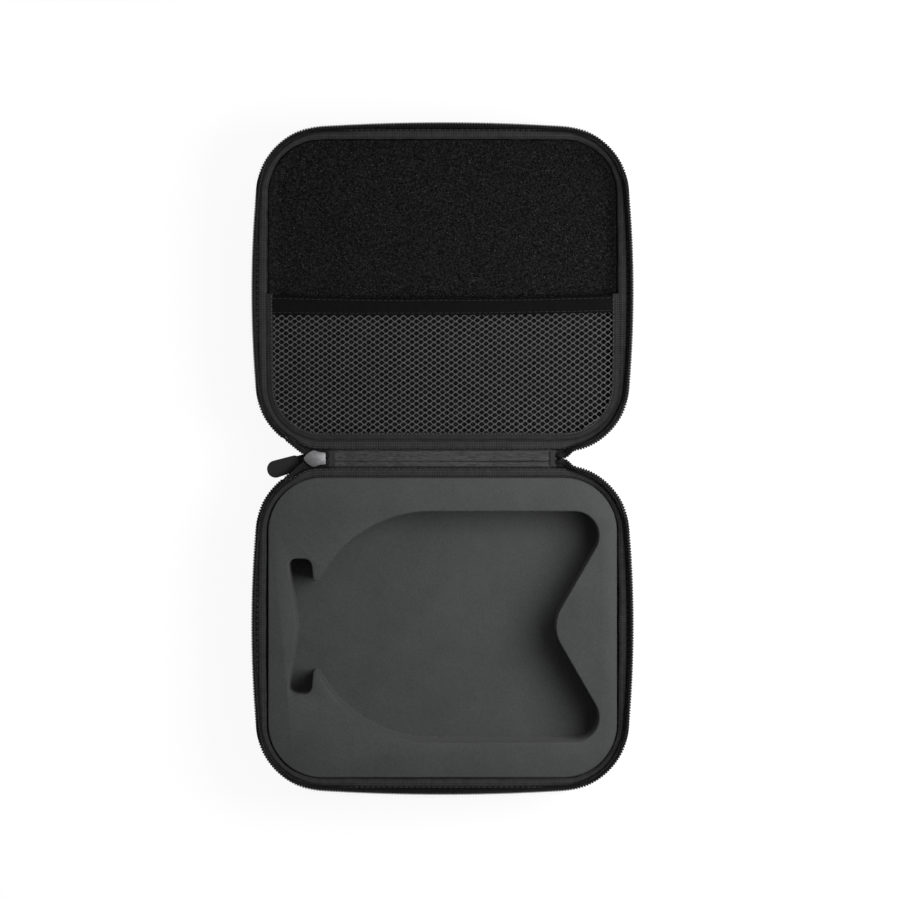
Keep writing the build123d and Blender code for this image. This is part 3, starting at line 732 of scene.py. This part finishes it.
def closed_cell_foam(colour):
    """Cross-linked EVA foam, split and die cut: fine closed cells, matt, faintly wavy from the splitting."""

    def tint(t):
        vector = millimetres(t)
        clouds = layered(t, mottle(t, vector, 26.0), 0.5, mottle(t, vector, 1.0, 2.0, 0.8))
        return shades(t, clouds, colour, 0.76, 1.24, 0.45, 1.05)

    def height(t):
        vector = millimetres(t)
        waves = layered(t, mottle(t, vector, 12.0), 3.0, 0.0)
        return layered(t, cells(t, vector, 0.8), 0.5, waves)

    soft = {"Sheen Weight": 0.1, "Sheen Roughness": 0.6, "Specular IOR Level": 0.4}
    return surface("closed-cell EVA", tint, 0.62, height, 0.10, **soft)


def open_cell_sponge(colour):
    """Open-cell polyurethane sponge: a mesh of struts round small pores, with painted glints on the struts,
    painted shade in the pores, and painted shade under the net.
    """

    def pores(t, spacing):
        vector = millimetres(t)
        bend = put(t, "TexNoise", {"Vector": vector, "Scale": 0.9})["Color"]
        return cells(t, put(t, "VectorMath", {0: vector, 1: bend}, operation="ADD")[0], spacing)

    def tint(t):
        # Painted glints are light spots on the struts. The pores are painted in shade, dark at each cell's
        # middle, and painted shade deepens the sponge under the net.
        painted_glint = put(t, "MapRange", {0: grained(0.8, 2.0, 0.9)(t), 1: 0.56, 2: 0.72, 3: 0.0, 4: 1.0})[0]
        inputs = {0: painted_glint, 6: shades(t, pores(t, 1.6), colour, 0.0, 2.1, 0.1, 0.8), 7: (0.1, 0.1, 0.1, 1)}
        return painted_shade_in_hollows(t, put(t, "Mix", inputs, data_type="RGBA")[2], 5.0)

    def height(t):
        return layered(t, pores(t, 1.3), 1.0, grained(0.5, 3.0, 0.8)(t))

    return surface("open-cell sponge", tint, 0.85, height, 0.5, **{"Specular IOR Level": 0.1})


def knitted_nylon(colour):
    """Knitted nylon net: twisted strands, with a painted highlight on their tops and painted shade down
    their sides.
    """

    def tint(t):
        # Painted highlight along each strand's top and painted shade down its sides, from the UV that runs
        # from the top to the hole's edge.
        side = put(t, "SeparateXYZ", {0: millimetres(t, True)})[0]
        return shades(t, layered(t, side, -1.1, grained(0.6, 3.0)(t)), colour, 0.2, 1.3, -0.6, 0.6)

    def twist(t):
        return weave(t, millimetres(t), 0.35, 0.35, 35)

    soft = {"Sheen Weight": 0.1, "Sheen Roughness": 0.4, "Specular IOR Level": 0.3}
    return surface("knitted nylon", tint, 0.55, twist, 0.06, **soft)


def woven_elastic(colour):
    """Woven elastic: lengthwise cords with fine cross threads."""

    def height(t):
        vector = millimetres(t, True)
        across_it = put(t, "SeparateXYZ", {0: vector})[1]
        return layered(t, weave(t, vector, 0.6, 0.6), 0.5, ribs(t, across_it, 1.2))

    tint = mottled(colour, 4.0, 0.8, 1.25, 3.0, True)
    return surface("woven elastic", tint, 0.8, height, 0.05, **{"Specular IOR Level": 0.12})


def plain_polyester(name, colour, thread, depth):
    """Woven polyester cloth or webbing: matt plain weave of a given thread."""

    def threads(t):
        return weave(t, millimetres(t, True), thread, thread)

    def tint(t):
        cloth = layered(t, threads(t), 0.4, mottle(t, millimetres(t, True), 6.0, 3.0, 0.6))
        return shades(t, cloth, colour, 0.72, 1.25, 0.35, 1.05)

    return surface(name, tint, 0.75, threads, depth, **{"Sheen Weight": 0.2, "Sheen Roughness": 0.4})


def satin_polyester(colour):
    """Satin-woven polyester cloth: long floating threads, whose shine along the cloth is painted into the
    colour as light and dark streaks, with painted shade in its creases.
    """

    def tint(t):
        vector = millimetres(t, True)
        # Painted sheen: light and dark streaks along the cloth.
        painted_sheen_streaks = layered(t, streaks(t, vector, 7.0, 0.7), 1.0, streaks(t, vector, 2.4, 0.5))
        return painted_shade_in_hollows(t, shades(t, painted_sheen_streaks, colour, 0.15, 1.75, 0.7, 1.3), 1.5)

    def height(t):
        return streaks(t, millimetres(t, True), 3.0, 0.5)

    soft = {"Sheen Weight": 0.2, "Sheen Roughness": 0.4, "Anisotropic": 0.4}
    return surface("satin polyester", tint, 0.6, height, 0.16, **soft)


def tumbled_zinc(colour):
    """Die-cast zinc alloy, barrel polished and nickel plated: satin, with fine scratches and soft edges."""
    tint, gloss = mottled(colour, 1.6, 0.88, 1.1, 4.0), rubbed(0.8, 0.32, 0.5, 4.0)
    return surface("tumbled zinc alloy", tint, gloss, grained(0.3, 4.0, 0.7), 0.02, **{"Metallic": 1.0})


def painted_wire(colour):
    """Steel wire with baked black paint: smooth and satin."""
    return surface(
        "painted steel wire", mottled(colour, 1.0, 0.85, 1.15), 0.38, grained(0.4), 0.01, **{"IOR": 1.5}
    )


def moulded_rubber(colour):
    """Moulded soft PVC rubber: fine matt tool grain."""
    tint = mottled(colour, 3.0, 0.9, 1.1, 3.0)
    plastic = {"IOR": 1.5, "Specular IOR Level": 0.4}
    return surface("moulded rubber", tint, 0.6, grained(0.25, 3.0), 0.03, **plastic)


def dress(thing, material, body, slot, *stands_for):
    """Gives a piece its material and body, and hides the CAD nodes that it stands for. The slot is not used.
    """
    thing.data.materials.clear()
    thing.data.materials.append(material)
    if body:
        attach(thing, body)
    if stands_for:
        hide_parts(*stands_for)


def repaint(node, material):
    """Puts a material on a CAD node, which stays as it is."""
    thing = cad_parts[node]
    if not thing.material_slots:
        thing.data.materials.append(material)
    thing.material_slots[0].material = material


# ---- Pieces ------------------------------------------------------------------------------------


def tub_wall(inset, top, floor, bend):
    """A shell's wall from its collar down to the edge of its floor, as (inset, height) points."""
    collar = top - SHELL_COLLAR
    centre_z = floor + bend
    centre = inset + (collar - centre_z) * math.tan(SHELL_DRAFT) + bend / math.cos(SHELL_DRAFT)
    turn = np.linspace(math.pi + SHELL_DRAFT, 1.5 * math.pi, 14)
    heights = np.linspace(collar, centre_z + bend * math.sin(turn[0]), 10)[1:-1]
    side = [(inset + (collar - z) * math.tan(SHELL_DRAFT), z) for z in heights]
    curve = [(centre + bend * math.cos(a), centre_z + bend * math.sin(a)) for a in turn]
    return [(inset, collar), *side, *curve]


class CASE_OT_shells(bpy.types.Operator):
    """Moulded shells of both halves, with the cloth bonded to them, and their linings"""

    bl_idname = "goggle_case.shells"
    bl_label = "Shells and linings"

    def execute(self, context):
        cloth = laminated_polyester(colour_of("shell"))
        knit = brushed_knit(colour_of("lining"))
        for half, toward in HALVES:
            low, high = extent(f"{half}_shell")
            rim_high = extent(f"{half}_binding")[1]
            inset, edge = rim_high[0] - high[0], high[2]
            outer = tub_wall(inset, rim_high[2], low[2], SHELL_BEND)
            floor, bend = low[2] + SHELL_WALL, SHELL_BEND - SHELL_WALL
            inner = tub_wall(inset + SHELL_WALL, rim_high[2], floor, bend)
            rim = [(inset + SHELL_WALL, edge), (inset, edge)]
            profile = np.array(inner[::-1] + rim + outer)
            path = rim_path(toward)
            s = steps(path, 1.5)
            drawn_in = lean(along(path, s[:-1])[1])[:, None] * share_of(profile[:, 1], 30, 14)
            profile = lifted((profile[:, 0] + drawn_in)[..., None], profile[:, 1])
            shell = sweep(f"{half}_shell_cloth", path, s, profile, tube=False)
            shell.data.set_sharp_from_angle(angle=math.radians(60))
            dress(shell, cloth, half, "shell_eva", f"{half}_shell")
            repaint(f"{half}_lining", knit)
        return {"FINISHED"}


class CASE_OT_bindings(bpy.types.Operator):
    """Tape folded over each rim, with its seam and stitches"""

    bl_idname = "goggle_case.bindings"
    bl_label = "Bindings"

    def execute(self, context):
        tape, thread = ribbed_tape(colour_of("binding")), polyester_thread(colour_of("thread"))
        for half, toward in HALVES:
            path = rim_path(toward)
            s = steps(path, 1.0)
            rows = s[:-1]
            low, high = extent(f"{half}_binding")
            wave = 0.30 * uneven(rows, 0, 14.0, 3 + toward)
            profile = self.folded(path, rows, high[2], low[2], wave, half, toward)
            band = sweep(f"{half}_binding_tape", path, s, profile)
            dress(band, tape, half, "binding_tape", f"{half}_binding")
            self.sew(half, path, rows, high[2], low[2], wave, thread)
        return {"FINISHED"}

    @staticmethod
    def folded(path, rows, top, bottom, wave, half, toward):
        """The tape's profile all along the rim: over it from outside to inside, and back underneath."""
        over = [
            (0.10, bottom), (0.0, bottom + 2.0), (0.0, top - 1.6), (0.18, top - 0.75), (0.75, top - 0.18),
            (1.6, top + 0.02), (2.6, top + 0.08), (3.6, top + 0.0), (4.5, top - 0.25), (5.02, top - 0.85),
            (5.2, top - 1.7), (5.2, bottom + 2.0), (5.12, bottom),
        ]
        under = [
            (4.6, bottom), (4.6, top - 0.9), (4.0, top - 0.65),
            (1.2, top - 0.65), (0.6, top - 0.9), (0.6, bottom),
        ]
        profile = np.tile(np.array(over + under)[None], (len(rows), 1, 1))
        crest = np.zeros(len(over + under))
        crest[3:10] = [0.3, 0.8, 1, 1, 1, 0.8, 0.4]
        fine = 0.12 * uneven(rows, 0, 3.5, 9 + toward)
        profile[..., 1] += crest * (wave + fine)[:, None]
        profile[:, 8:12, 0] += (0.35 * uneven(rows, 5, 6.0, 21 + toward))[:, None]
        out = along(path, rows)[1]
        drawn = np.array([1, 1, 1, 1, 1, 0.9, 0.6, 0.3, 0.1, 0, 0, 0, 0, 0, 0, 0, 0.8, 1, 1])
        profile[..., 0] += CORNER_DRAW * lean(out)[:, None] * drawn
        flank = share_of(abs(out[:, 0]), 0.75, 0.2)
        profile[:, 9:13, 0] += 0.45 + flank[:, None] * (0.6 if half == "lid" else 0.1)
        return profile

    @staticmethod
    def sew(half, path, rows, top, bottom, wave, thread):
        """One row of stitches on the tape's top and one on its outside."""
        at_s = steps(path, size("stitch") + size("stitch_gap"))[:-1]
        xy, out = along(path, at_s)
        drawn = CORNER_DRAW * lean(out)[:, None]
        side = lifted(out, 0.0)
        lift = np.interp(at_s, rows, wave)
        on_top = lifted(xy - out * (0.75 + drawn), top - 0.2 + lift * 0.8)
        on_wall = lifted(xy - out * drawn, bottom + 1.2)
        for label, at, facing in (("top", on_top, UP * 0.8 + side * 0.6), ("side", on_wall, side)):
            name = f"{half}_binding_stitches_{label}"
            row = stitches(name, at, heading(path, at_s), facing, size("stitch"), size("thread"))
            dress(row, thread, half, "binding_tape")


class CASE_OT_zips(bpy.types.Operator):
    """Zip tapes, the coil row on each half, and the ends that run into the slider and the stop"""

    bl_idname = "goggle_case.zips"
    bl_label = "Zips"

    def execute(self, context):
        twill, nylon = herringbone_tape(colour_of("tape")), nylon_filament(colour_of("coil"))
        slider_low = extent("slider_body")[0]
        left_low, left_high = extent("zip_chain_left")
        right_low, right_high = extent("zip_chain_right")
        chain_z = (left_low[2] + left_high[2]) / 2
        ring_right, ring_left = 76, -90  # where a ring ends and its leads to the chain begin
        row_offset = 1.15  # of each row from the middle of the chain
        for half, toward in HALVES:
            low, high = extent(f"{half}_zip_coil")
            rim_top = extent(f"{half}_binding")[1][2]
            height = high[2] - low[2]
            path, rim = zip_path(toward), rim_path(toward)
            near_hinge = abs(path.xy[:, 1]) < 40
            start = path.s[:-1][near_hinge & (path.xy[:, 0] > ring_right)].min()
            stop = path.s[:-1][near_hinge & (path.xy[:, 0] < ring_left)].max()
            rail = ring_rail(path, start, stop, (low[2] + high[2]) / 2)
            dress(coil(f"{half}_coil", rail, height), nylon, half, "zip_coil", f"{half}_zip_coil")
            dress(cord(f"{half}_coil_cord", rail, 1.3), nylon, half, "zip_tape")
            tape = zip_cloth(f"{half}_zip_tape_cloth", rail, rim, rim_top, height)
            dress(tape, twill, half, "zip_tape", f"{half}_zip_tape")
            ends = (
                ("left", -1, slider_low[0] + 3.0 + toward, left_high[0], 0.35),
                ("right", 0, right_high[0] - 0.2, right_low[0], 1.0),
            )
            for end, index, bend_x, stop_x, slack in ends:
                bend = np.array([bend_x, toward * row_offset, chain_z])
                lead = lead_rail(rail, index, bend, stop_x, slack)
                phase = size("coil_pitch") / 4 * (1 + toward)  # the two rows mesh
                filler = cord(f"{half}_coil_cord_{end}_end", lead, 1.4)
                dress(filler, nylon, None, "zip_tape")
                row = coil(f"{half}_coil_{end}_end", lead, height, phase)
                dress(row, nylon, None, "zip_coil")
                if half == "base":
                    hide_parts(f"zip_chain_{end}")
                tape = zip_cloth(f"{half}_zip_tape_{end}_end", lead, rim, rim_top, height)
                dress(tape, twill, None, "zip_tape")
                for piece in (filler, row, tape):
                    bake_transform(piece)
        return {"FINISHED"}


class CASE_OT_hinge(bpy.types.Operator):
    """Cloth strip between the halves, its outer web, its sewn ends and stitches"""

    bl_idname = "goggle_case.hinge"
    bl_label = "Hinge strip"

    def execute(self, context):
        cloth = satin_polyester(colour_of("strip"))
        folded = plain_polyester("hem polyester", colour_of("strip", 0.62), 1.3, 0.25)
        low, high = extent("hinge_lining")
        reach, top_z = high[0], high[2]
        x = np.linspace(low[0], reach, 190)
        crease, outer_y, thick = -1.7, 5.3, 0.6
        for half, toward, y0, y1 in (("base", -1, -outer_y, crease), ("lid", 1, crease, outer_y)):
            grid_x, grid_y = np.meshgrid(x, np.linspace(y0, y1, 14), indexing="ij")
            z = top_z - 0.05 + self.creases(grid_x, grid_y)
            z -= 1.5 * share_of(abs(grid_y), 4.3, 1.0) ** 1.5
            top = np.stack([grid_x, grid_y, z], 2)
            points = np.concatenate([top, (top - [0, 0, thick])[:, ::-1]], 1)
            piece = grid_object(f"hinge_cloth_{half}", points, x, lengths(points[0], True))
            dress(piece, cloth, None, "hinge_lining_cloth")
            if half == "base":
                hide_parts("hinge_lining")
            start, end = ((0, toward * y * MM, top_z * MM) for y in (5.2, 4.5))
            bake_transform(piece)
            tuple(start)
            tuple(end)
        repaint("hinge_web", plain_polyester("nylon webbing", colour_of("web"), 1.2, 0.2))
        for end in ("left", "right"):
            hem = softened(f"hinge_hem_{end}_cloth", f"hinge_hem_{end}", 0.1)
            dress(hem, folded, "strip", "hinge_lining_cloth", f"hinge_hem_{end}")
        across = np.arange(-3.4, 3.5, 2.2)
        rows = ((low[0] - 0.3, 0.5), (low[0] + 3.6, 0.5), (reach - 4.6, 0.02))
        at = np.array([(at_x, at_y, top_z + lift) for at_x, lift in rows for at_y in across])
        row = stitches("hinge_stitches", at, [0.0, 1.0, 0.0], UP, 1.7, size("thread"))
        dress(row, polyester_thread(colour_of("coil")), "strip", "hinge_lining_cloth")
        return {"FINISHED"}

    @staticmethod
    def creases(x, y):
        """Long shallow folds along the strip, the deepest of them towards its right end."""
        wander = 1.2 * uneven(x, 0, 30.0, 5)
        deep = 0.35 * soft_noise(x, 3, 40.0, 8) + 1.3 * share_of(x, 18, 12) * share_of(-x, -62, 4)
        valley = -(0.1 + 0.45 * deep) * np.exp(-(((y + 1.7 - 0.3 * wander) / 0.35) ** 2))
        second = -0.22 * soft_noise(x, 7, 35.0, 11) * np.exp(-(((y - 1.6 - wander) / 0.45) ** 2))
        ripple = 0.16 * uneven(x / 4, y, 1.6, 14)
        return valley + second + ripple


class CASE_OT_slider(bpy.types.Operator):
    """Die-cast slider and the crown that holds its pull"""

    bl_idname = "goggle_case.slider"
    bl_label = "Slider"

    def execute(self, context):
        zinc = tumbled_zinc(colour_of("metal"))
        for name, node, width in (
            ("slider_casting", "slider_body", 0.28),
            ("slider_arch", "slider_crown", 0.25),
        ):
            dress(softened(name, node, width), zinc, "slider", "slider_metal", node)
        return {"FINISHED"}


class CASE_OT_pull(bpy.types.Operator):
    """Wire link and moulded rubber tab, with the rubber web between the link's legs"""

    bl_idname = "goggle_case.pull"
    bl_label = "Pull"

    def execute(self, context):
        repaint("pull_link", painted_wire(colour_of("wire")))
        rubber = moulded_rubber(colour_of("rubber"))
        repaint("pull_tab", rubber)
        link_low, link_high = extent("pull_link")
        root = np.array([link_high[0] - 1.2, 0.0])
        way = unit(sum(extent("pull_tab"))[:2] / 2 - root)
        across = np.array([-way[1], way[0]])
        outline = rounded(4.6, 5.2, 0.9)
        flat = root + way * 5.2 + outline[:, :1] * way + outline[:, 1:] * across
        middle, half_thick, edge, narrow = (link_low[2] + link_high[2]) / 2, 0.55, 0.2, 0.93
        heights = (-half_thick, -half_thick + edge, half_thick - edge, half_thick)
        shrunk = zip((narrow, 1, 1, narrow), heights)
        layers = [lifted(flat * k + flat.mean(0) * (1 - k), middle + z) for k, z in shrunk]
        web = grid_object("pull_tab_web", np.stack(layers), np.arange(4) * 0.4, lengths(flat, True))
        dress(web, rubber, "pull", "tab_rubber")
        return {"FINISHED"}


class CASE_OT_insert(bpy.types.Operator):
    """Die-cut foam block and the sheet under it"""

    bl_idname = "goggle_case.insert"
    bl_label = "Foam insert"

    def execute(self, context):
        foam = closed_cell_foam(colour_of("foam"))
        top = extent("insert_block")[1][2]
        block = softened("insert_foam", "insert_block", size("foam_edge"), lambda p: p[2] > top - 0.1, 4)
        dress(block, foam, "base", "insert_foam", "insert_block")
        repaint("insert_floor", foam)
        return {"FINISHED"}


class CASE_OT_pad(bpy.types.Operator):
    """Sponge pad in the lid"""

    bl_idname = "goggle_case.pad"
    bl_label = "Lid pad"

    def execute(self, context):
        skin, grain_depth = 3, 0.55  # only the upper face is shaped
        edge_start, edge_width = 13, 6  # inside the rim, where the edge turns up and out to the binding
        edge_rise, edge_spread = 4.6, 1.1
        pad = placed("lid_sponge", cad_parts["lid_pad"].data.copy())
        remesh = pad.modifiers.new("even mesh", "REMESH")
        remesh.mode, remesh.voxel_size = "VOXEL", 1.45 * MM
        mesh = bpy.data.meshes.new_from_object(pad.evaluated_get(bpy.context.evaluated_depsgraph_get()))
        pad.modifiers.clear()
        pad.data = mesh
        mesh.name = pad.name
        points = np.empty(len(mesh.vertices) * 3, np.float32)
        mesh.vertices.foreach_get("co", points)
        points = points.reshape(-1, 3).astype(float)
        top = points[:, 2] > points[:, 2].max() - skin * MM
        x, y = points[:, 0] / MM, points[:, 1] / MM
        inset, out = inset_from(rim_path(1), np.stack([x, y], 1)[top], 4)
        curl = eased(share_of(-inset, -edge_start, edge_width))
        points[top, 2] += edge_rise * curl * MM
        points[top, :2] += out * curl[:, None] * edge_spread * MM
        grain = uneven(x, y, 2.2, 31) + 0.6 * uneven(x, y, 40.0, 33)
        points[:, 2] += np.where(top, grain_depth * grain, 0) * MM
        mesh.vertices.foreach_set("co", points.astype(np.float32).ravel())
        mesh.shade_smooth()
        mesh.update()
        dress(pad, open_cell_sponge(colour_of("sponge")), "lid", "sponge", "lid_pad")
        return {"FINISHED"}


class CASE_OT_pocket(bpy.types.Operator):
    """Net pocket in the lid, with its elastic mouth and the tape round its edge"""

    bl_idname = "goggle_case.pocket"
    bl_label = "Pocket"

    def execute(self, context):
        self.net()
        self.band()
        self.frame_tape()
        return {"FINISHED"}

    @staticmethod
    def sag(x, y):
        """How far the net lies under its stretched level."""
        across = np.clip(1 - (x / 100) ** 2, 0, 1)
        down = np.clip((y - 12) * (90 - y) / 39**2, 0, 1)
        fold_line = np.exp(-(((y - 68 + 0.78 * (x + 42)) / 3.2) ** 2))
        fold = fold_line * np.clip(1 - ((x + 20) / 34) ** 2, 0, 1)
        under_band = 1.9 * share_of(y, 81, 2.5)
        return 1.1 * across * down - 0.9 * fold + 0.5 * uneven(x, y, 18.0, 41) + under_band

    @staticmethod
    def skew(points):
        """The net's rows rise a little towards the right, where it was sewn in askew."""
        x, y = points[..., 0], points[..., 1]
        rise = 0.045 * np.clip(x - 5, 0, None) * share_of(y, 10, 60)
        return np.stack([x, y + rise], -1)

    @staticmethod
    def mesh_cell(across, down, strand):
        """One hole of the net: the six-sided outline down the middle of its strands, and its own edge."""
        wide, tall = 0.485 * across, down / 2
        short = across / 2 - wide
        corners = np.array(
            [(wide, 0), (short, tall), (-short, tall), (-wide, 0), (-short, -tall), (short, -tall)]
        )
        onward = np.roll(corners, -1, 0)
        thirds = [corners, (2 * corners + onward) / 3, (corners + 2 * onward) / 3]
        outline = np.stack(thirds, 1).reshape(-1, 2)
        way = unit(outline)
        hole_size = np.array([wide - strand * 1.30, tall - strand * 0.42])
        roundness = 1.5
        reach = (abs(way / hole_size) ** roundness).sum(1) ** (-1 / roundness)
        return outline, way * reach[:, None]

    def net(self):
        low, high = extent("pocket_mesh")
        across, down, strand = size("net_across"), size("net_along"), size("net_strand")
        i, j = np.meshgrid(np.arange(-22, 23), np.arange(-2, 58), indexing="ij")
        centre = np.stack([(i + (j % 2) * 0.5) * across, low[1] + 1.0 + j * down / 2], 2).reshape(-1, 2)
        edge_inset, past_mouth = 6.2, 3.0  # the net ends under the frame tape and under the elastic
        inset = inset_from(rim_path(1), centre)[0]
        centre = centre[(inset > edge_inset) & (centre[:, 1] < high[1] + past_mouth)]
        count = len(centre)
        outline, hole = self.mesh_cell(across, down, strand)
        sides = len(outline)
        rim, gap = self.skew(centre[:, None] + outline), self.skew(centre[:, None] + hole)
        level, half_thick = high[2] - 0.55, strand * 0.5
        z_rim, z_gap = level - self.sag(rim[..., 0], rim[..., 1]), level - self.sag(gap[..., 0], gap[..., 1])
        rings = [lifted(rim, z_rim + half_thick), lifted(gap, z_gap), lifted(rim, z_rim - half_thick)]
        points = np.stack(rings, 1).reshape(count, 3 * sides, 3)
        k = np.arange(sides)
        onward = (k + 1) % sides
        band = np.stack([k, onward, sides + onward, sides + k], 1)
        faces = np.concatenate([band, band + sides])
        quads = (faces[None] + (np.arange(count) * 3 * sides)[:, None, None]).reshape(-1, 4)
        # These UVs run from 0 on a strand's top to 1 at the hole's edge, and the net's material paints a
        # highlight along the top and shade down the sides from them.
        crest = np.repeat([[0.0, 0.0, 1.0, 1.0], [1.0, 1.0, 0.0, 0.0]], sides, 0)  # 0 on the strand's top
        corner_uv = np.tile(np.stack([crest, 0 * crest], 2).reshape(-1, 2), (count, 1))
        net = mesh_object("pocket_net", points, [quads], corner_uv)
        face_outwards(net.data, merge=0.02)
        dress(net, knitted_nylon(colour_of("net")), "lid", "mesh_net", "pocket_mesh")

    def band(self):
        low, high = extent("pocket_band")
        x = np.linspace(low[0] - 1.0, high[0] + 1.0, 150)
        t = (x - x[0]) / (x[-1] - x[0])
        bow = np.sin(np.pi * t)
        mouth = high[1] + 0.3 - 1.7 * bow**0.8 + 0.4 * uneven(x, 0, 25.0, 51)
        seam = low[1] - 1.2 - 0.9 * bow + 1.4 * t + 0.3 * uneven(x, 4, 25.0, 52)
        shape = rounded(1.0, 1.0, 0.42)
        across = (shape[:, 0] + 0.5)[None]
        y = seam[:, None] * (1 - across) + mouth[:, None] * across
        bulge = 0.25 * uneven(x[:, None] / 2, y, 5.0, 53)
        sunk = 0.9 * bow
        z = high[2] - 0.5 + shape[None, :, 1] - sunk[:, None] + bulge
        points = np.stack([np.broadcast_to(x[:, None], y.shape), y, z], 2)
        band = grid_object("pocket_elastic", points, x, lengths(points[len(x) // 2], True))
        dress(band, woven_elastic(colour_of("band")), "lid", "elastic_band", "pocket_band")
        thread = polyester_thread(colour_of("band"))
        at_x = np.arange(x[0] + 3, x[-1] - 2, size("stitch") + size("stitch_gap"))
        for label, share in (("mouth", 0.86), ("seam", 0.12)):
            at_y = np.interp(at_x, x, seam * (1 - share) + mouth * share)
            at = np.stack([at_x, at_y, high[2] - 0.04 - np.interp(at_x, x, sunk)], 1)
            row = stitches(f"pocket_stitches_{label}", at, [1.0, 0.0, 0.0], UP, size("stitch"), 0.3)
            dress(row, thread, "lid", "elastic_band")

    def frame_tape(self):
        low, high = extent("pocket_piping")
        path = rim_path(1)
        reach = path.s[:-1][(path.xy[:, 0] > 0) & (path.xy[:, 1] < high[1] + 1.5)].max()
        s = np.linspace(-reach, reach, 520)
        width, inset, seam_inset = 4.2, 7.4, 8.9
        shape = rounded(width, high[2] - low[2] + 0.2, 0.6)
        wobble = 0.3 * uneven(s, 0, 9.0, 61)
        middle = lifted((inset + wobble)[:, None], (high[2] + low[2]) / 2)
        profile = shape[None] + middle[:, None]
        piece = sweep("pocket_frame_tape", path, s, profile, whole=False)
        dress(piece, ribbed_tape(colour_of("binding", 0.7)), "lid", "binding_tape", "pocket_piping")
        length, spacing, thickness = 1.6, 2.4, 0.5
        at_s = np.arange(-reach + 2, reach - 2, spacing)
        xy, out = along(path, at_s)
        at = lifted(xy - out * seam_inset, high[2] + 0.05)
        row = stitches("pocket_frame_stitches", at, heading(path, at_s), UP, length, thickness)
        dress(row, polyester_thread(colour_of("thread")), "lid", "binding_tape")


class CASE_OT_stage(bpy.types.Operator):
    """Floor, light and camera"""

    bl_idname = "goggle_case.stage"
    bl_label = "Stage"

    def execute(self, context):
        scene = context.scene
        self.floor()
        self.world(scene)
        for name, place, side, watts in (
            ("key", (0.31, 0.02, 0.50), 0.34, 2.2),
            ("fill", (0.2, 0.5, 1.4), 1.2, 1.2),
        ):
            lamp = bpy.data.lights.new(name, "AREA")
            lamp.shape, lamp.size, lamp.energy = "SQUARE", side, watts
            thing = placed(name, lamp)
            thing.visible_camera = False
            thing.location = place
            thing.rotation_mode = "QUATERNION"
            thing.rotation_quaternion = (-thing.location.normalized()).to_track_quat("-Z", "Y")
        view = bpy.data.cameras.new("camera")
        view.sensor_width, view.lens = 36.0, 132.3
        view.clip_start, view.clip_end = 0.05, 20
        camera = placed("camera", view)
        camera.location = (0.0043, 0.0049, 1.952)
        scene.camera = camera
        scene.view_settings.view_transform = "Standard"
        return {"FINISHED"}

    @staticmethod
    def floor():
        """White paper, which glows to the camera alone, so that it lends the object no light."""
        reach = 6
        corners = [(x * reach, y * reach, 0) for x, y in ((-1, -1), (1, -1), (1, 1), (-1, 1))]
        mesh = bpy.data.meshes.new("floor")
        mesh.from_pydata(corners, [], [(0, 1, 2, 3)])
        placed("floor", mesh)
        paper = bpy.data.materials.new("white paper")
        paper.use_nodes = True
        tree = paper.node_tree
        tree.nodes.clear()
        matt, lit = (put(tree, "BsdfDiffuse", {"Color": (grey, grey, grey, 1)})[0] for grey in (0.75, 0.22))
        glow = put(tree, "Emission", {"Color": (1, 1, 1, 1), "Strength": 0.92})[0]
        both = put(tree, "AddShader", {0: lit, 1: glow})[0]
        seen = put(tree, "LightPath")["Is Camera Ray"]
        put(tree, "OutputMaterial", {"Surface": put(tree, "MixShader", {0: seen, 1: matt, 2: both})[0]})
        mesh.materials.append(paper)

    @staticmethod
    def world(scene):
        """A white studio, plain and dim as light and white to the camera."""
        scene.world = bpy.data.worlds.new("studio")
        scene.world.use_nodes = True
        tree = scene.world.node_tree
        tree.nodes.clear()
        seen = put(tree, "LightPath")["Is Camera Ray"]
        strength = put(tree, "MapRange", {0: seen, 3: 0.135, 4: 1.0})[0]
        back = put(tree, "Background", {"Color": (1, 1, 1, 1), "Strength": strength})[0]
        put(tree, "OutputWorld", {"Surface": back})


PIECES = (
    CASE_OT_stage,
    CASE_OT_shells,
    CASE_OT_bindings,
    CASE_OT_zips,
    CASE_OT_hinge,
    CASE_OT_slider,
    CASE_OT_pull,
    CASE_OT_insert,
    CASE_OT_pad,
    CASE_OT_pocket,
)


class CASE_PT_panel(bpy.types.Panel):
    """Lists the case's pieces with their sizes and colours"""

    bl_idname = "CASE_PT_panel"
    bl_label = "Goggles case"
    bl_space_type = "VIEW_3D"
    bl_region_type = "UI"
    bl_category = "Case"

    def draw(self, context):
        for piece in PIECES:
            self.layout.operator(piece.bl_idname)
        for group in (context.scene.goggle_case_sizes, context.scene.goggle_case_colours):
            box = self.layout.box()
            for key in group.__annotations__:
                box.prop(group, key)


CLASSES = (CaseSizes, CaseColours, *PIECES, CASE_PT_panel)


def register():
    for each in CLASSES:
        bpy.utils.register_class(each)
    bpy.types.Scene.goggle_case_sizes = bpy.props.PointerProperty(type=CaseSizes)
    bpy.types.Scene.goggle_case_colours = bpy.props.PointerProperty(type=CaseColours)


def unregister():
    del bpy.types.Scene.goggle_case_sizes
    del bpy.types.Scene.goggle_case_colours
    for each in reversed(CLASSES):
        bpy.utils.unregister_class(each)


def main():
    register()
    for piece in PIECES:
        group, name = piece.bl_idname.split(".")
        getattr(getattr(bpy.ops, group), name)()


if __name__ == "__main__":
    main()
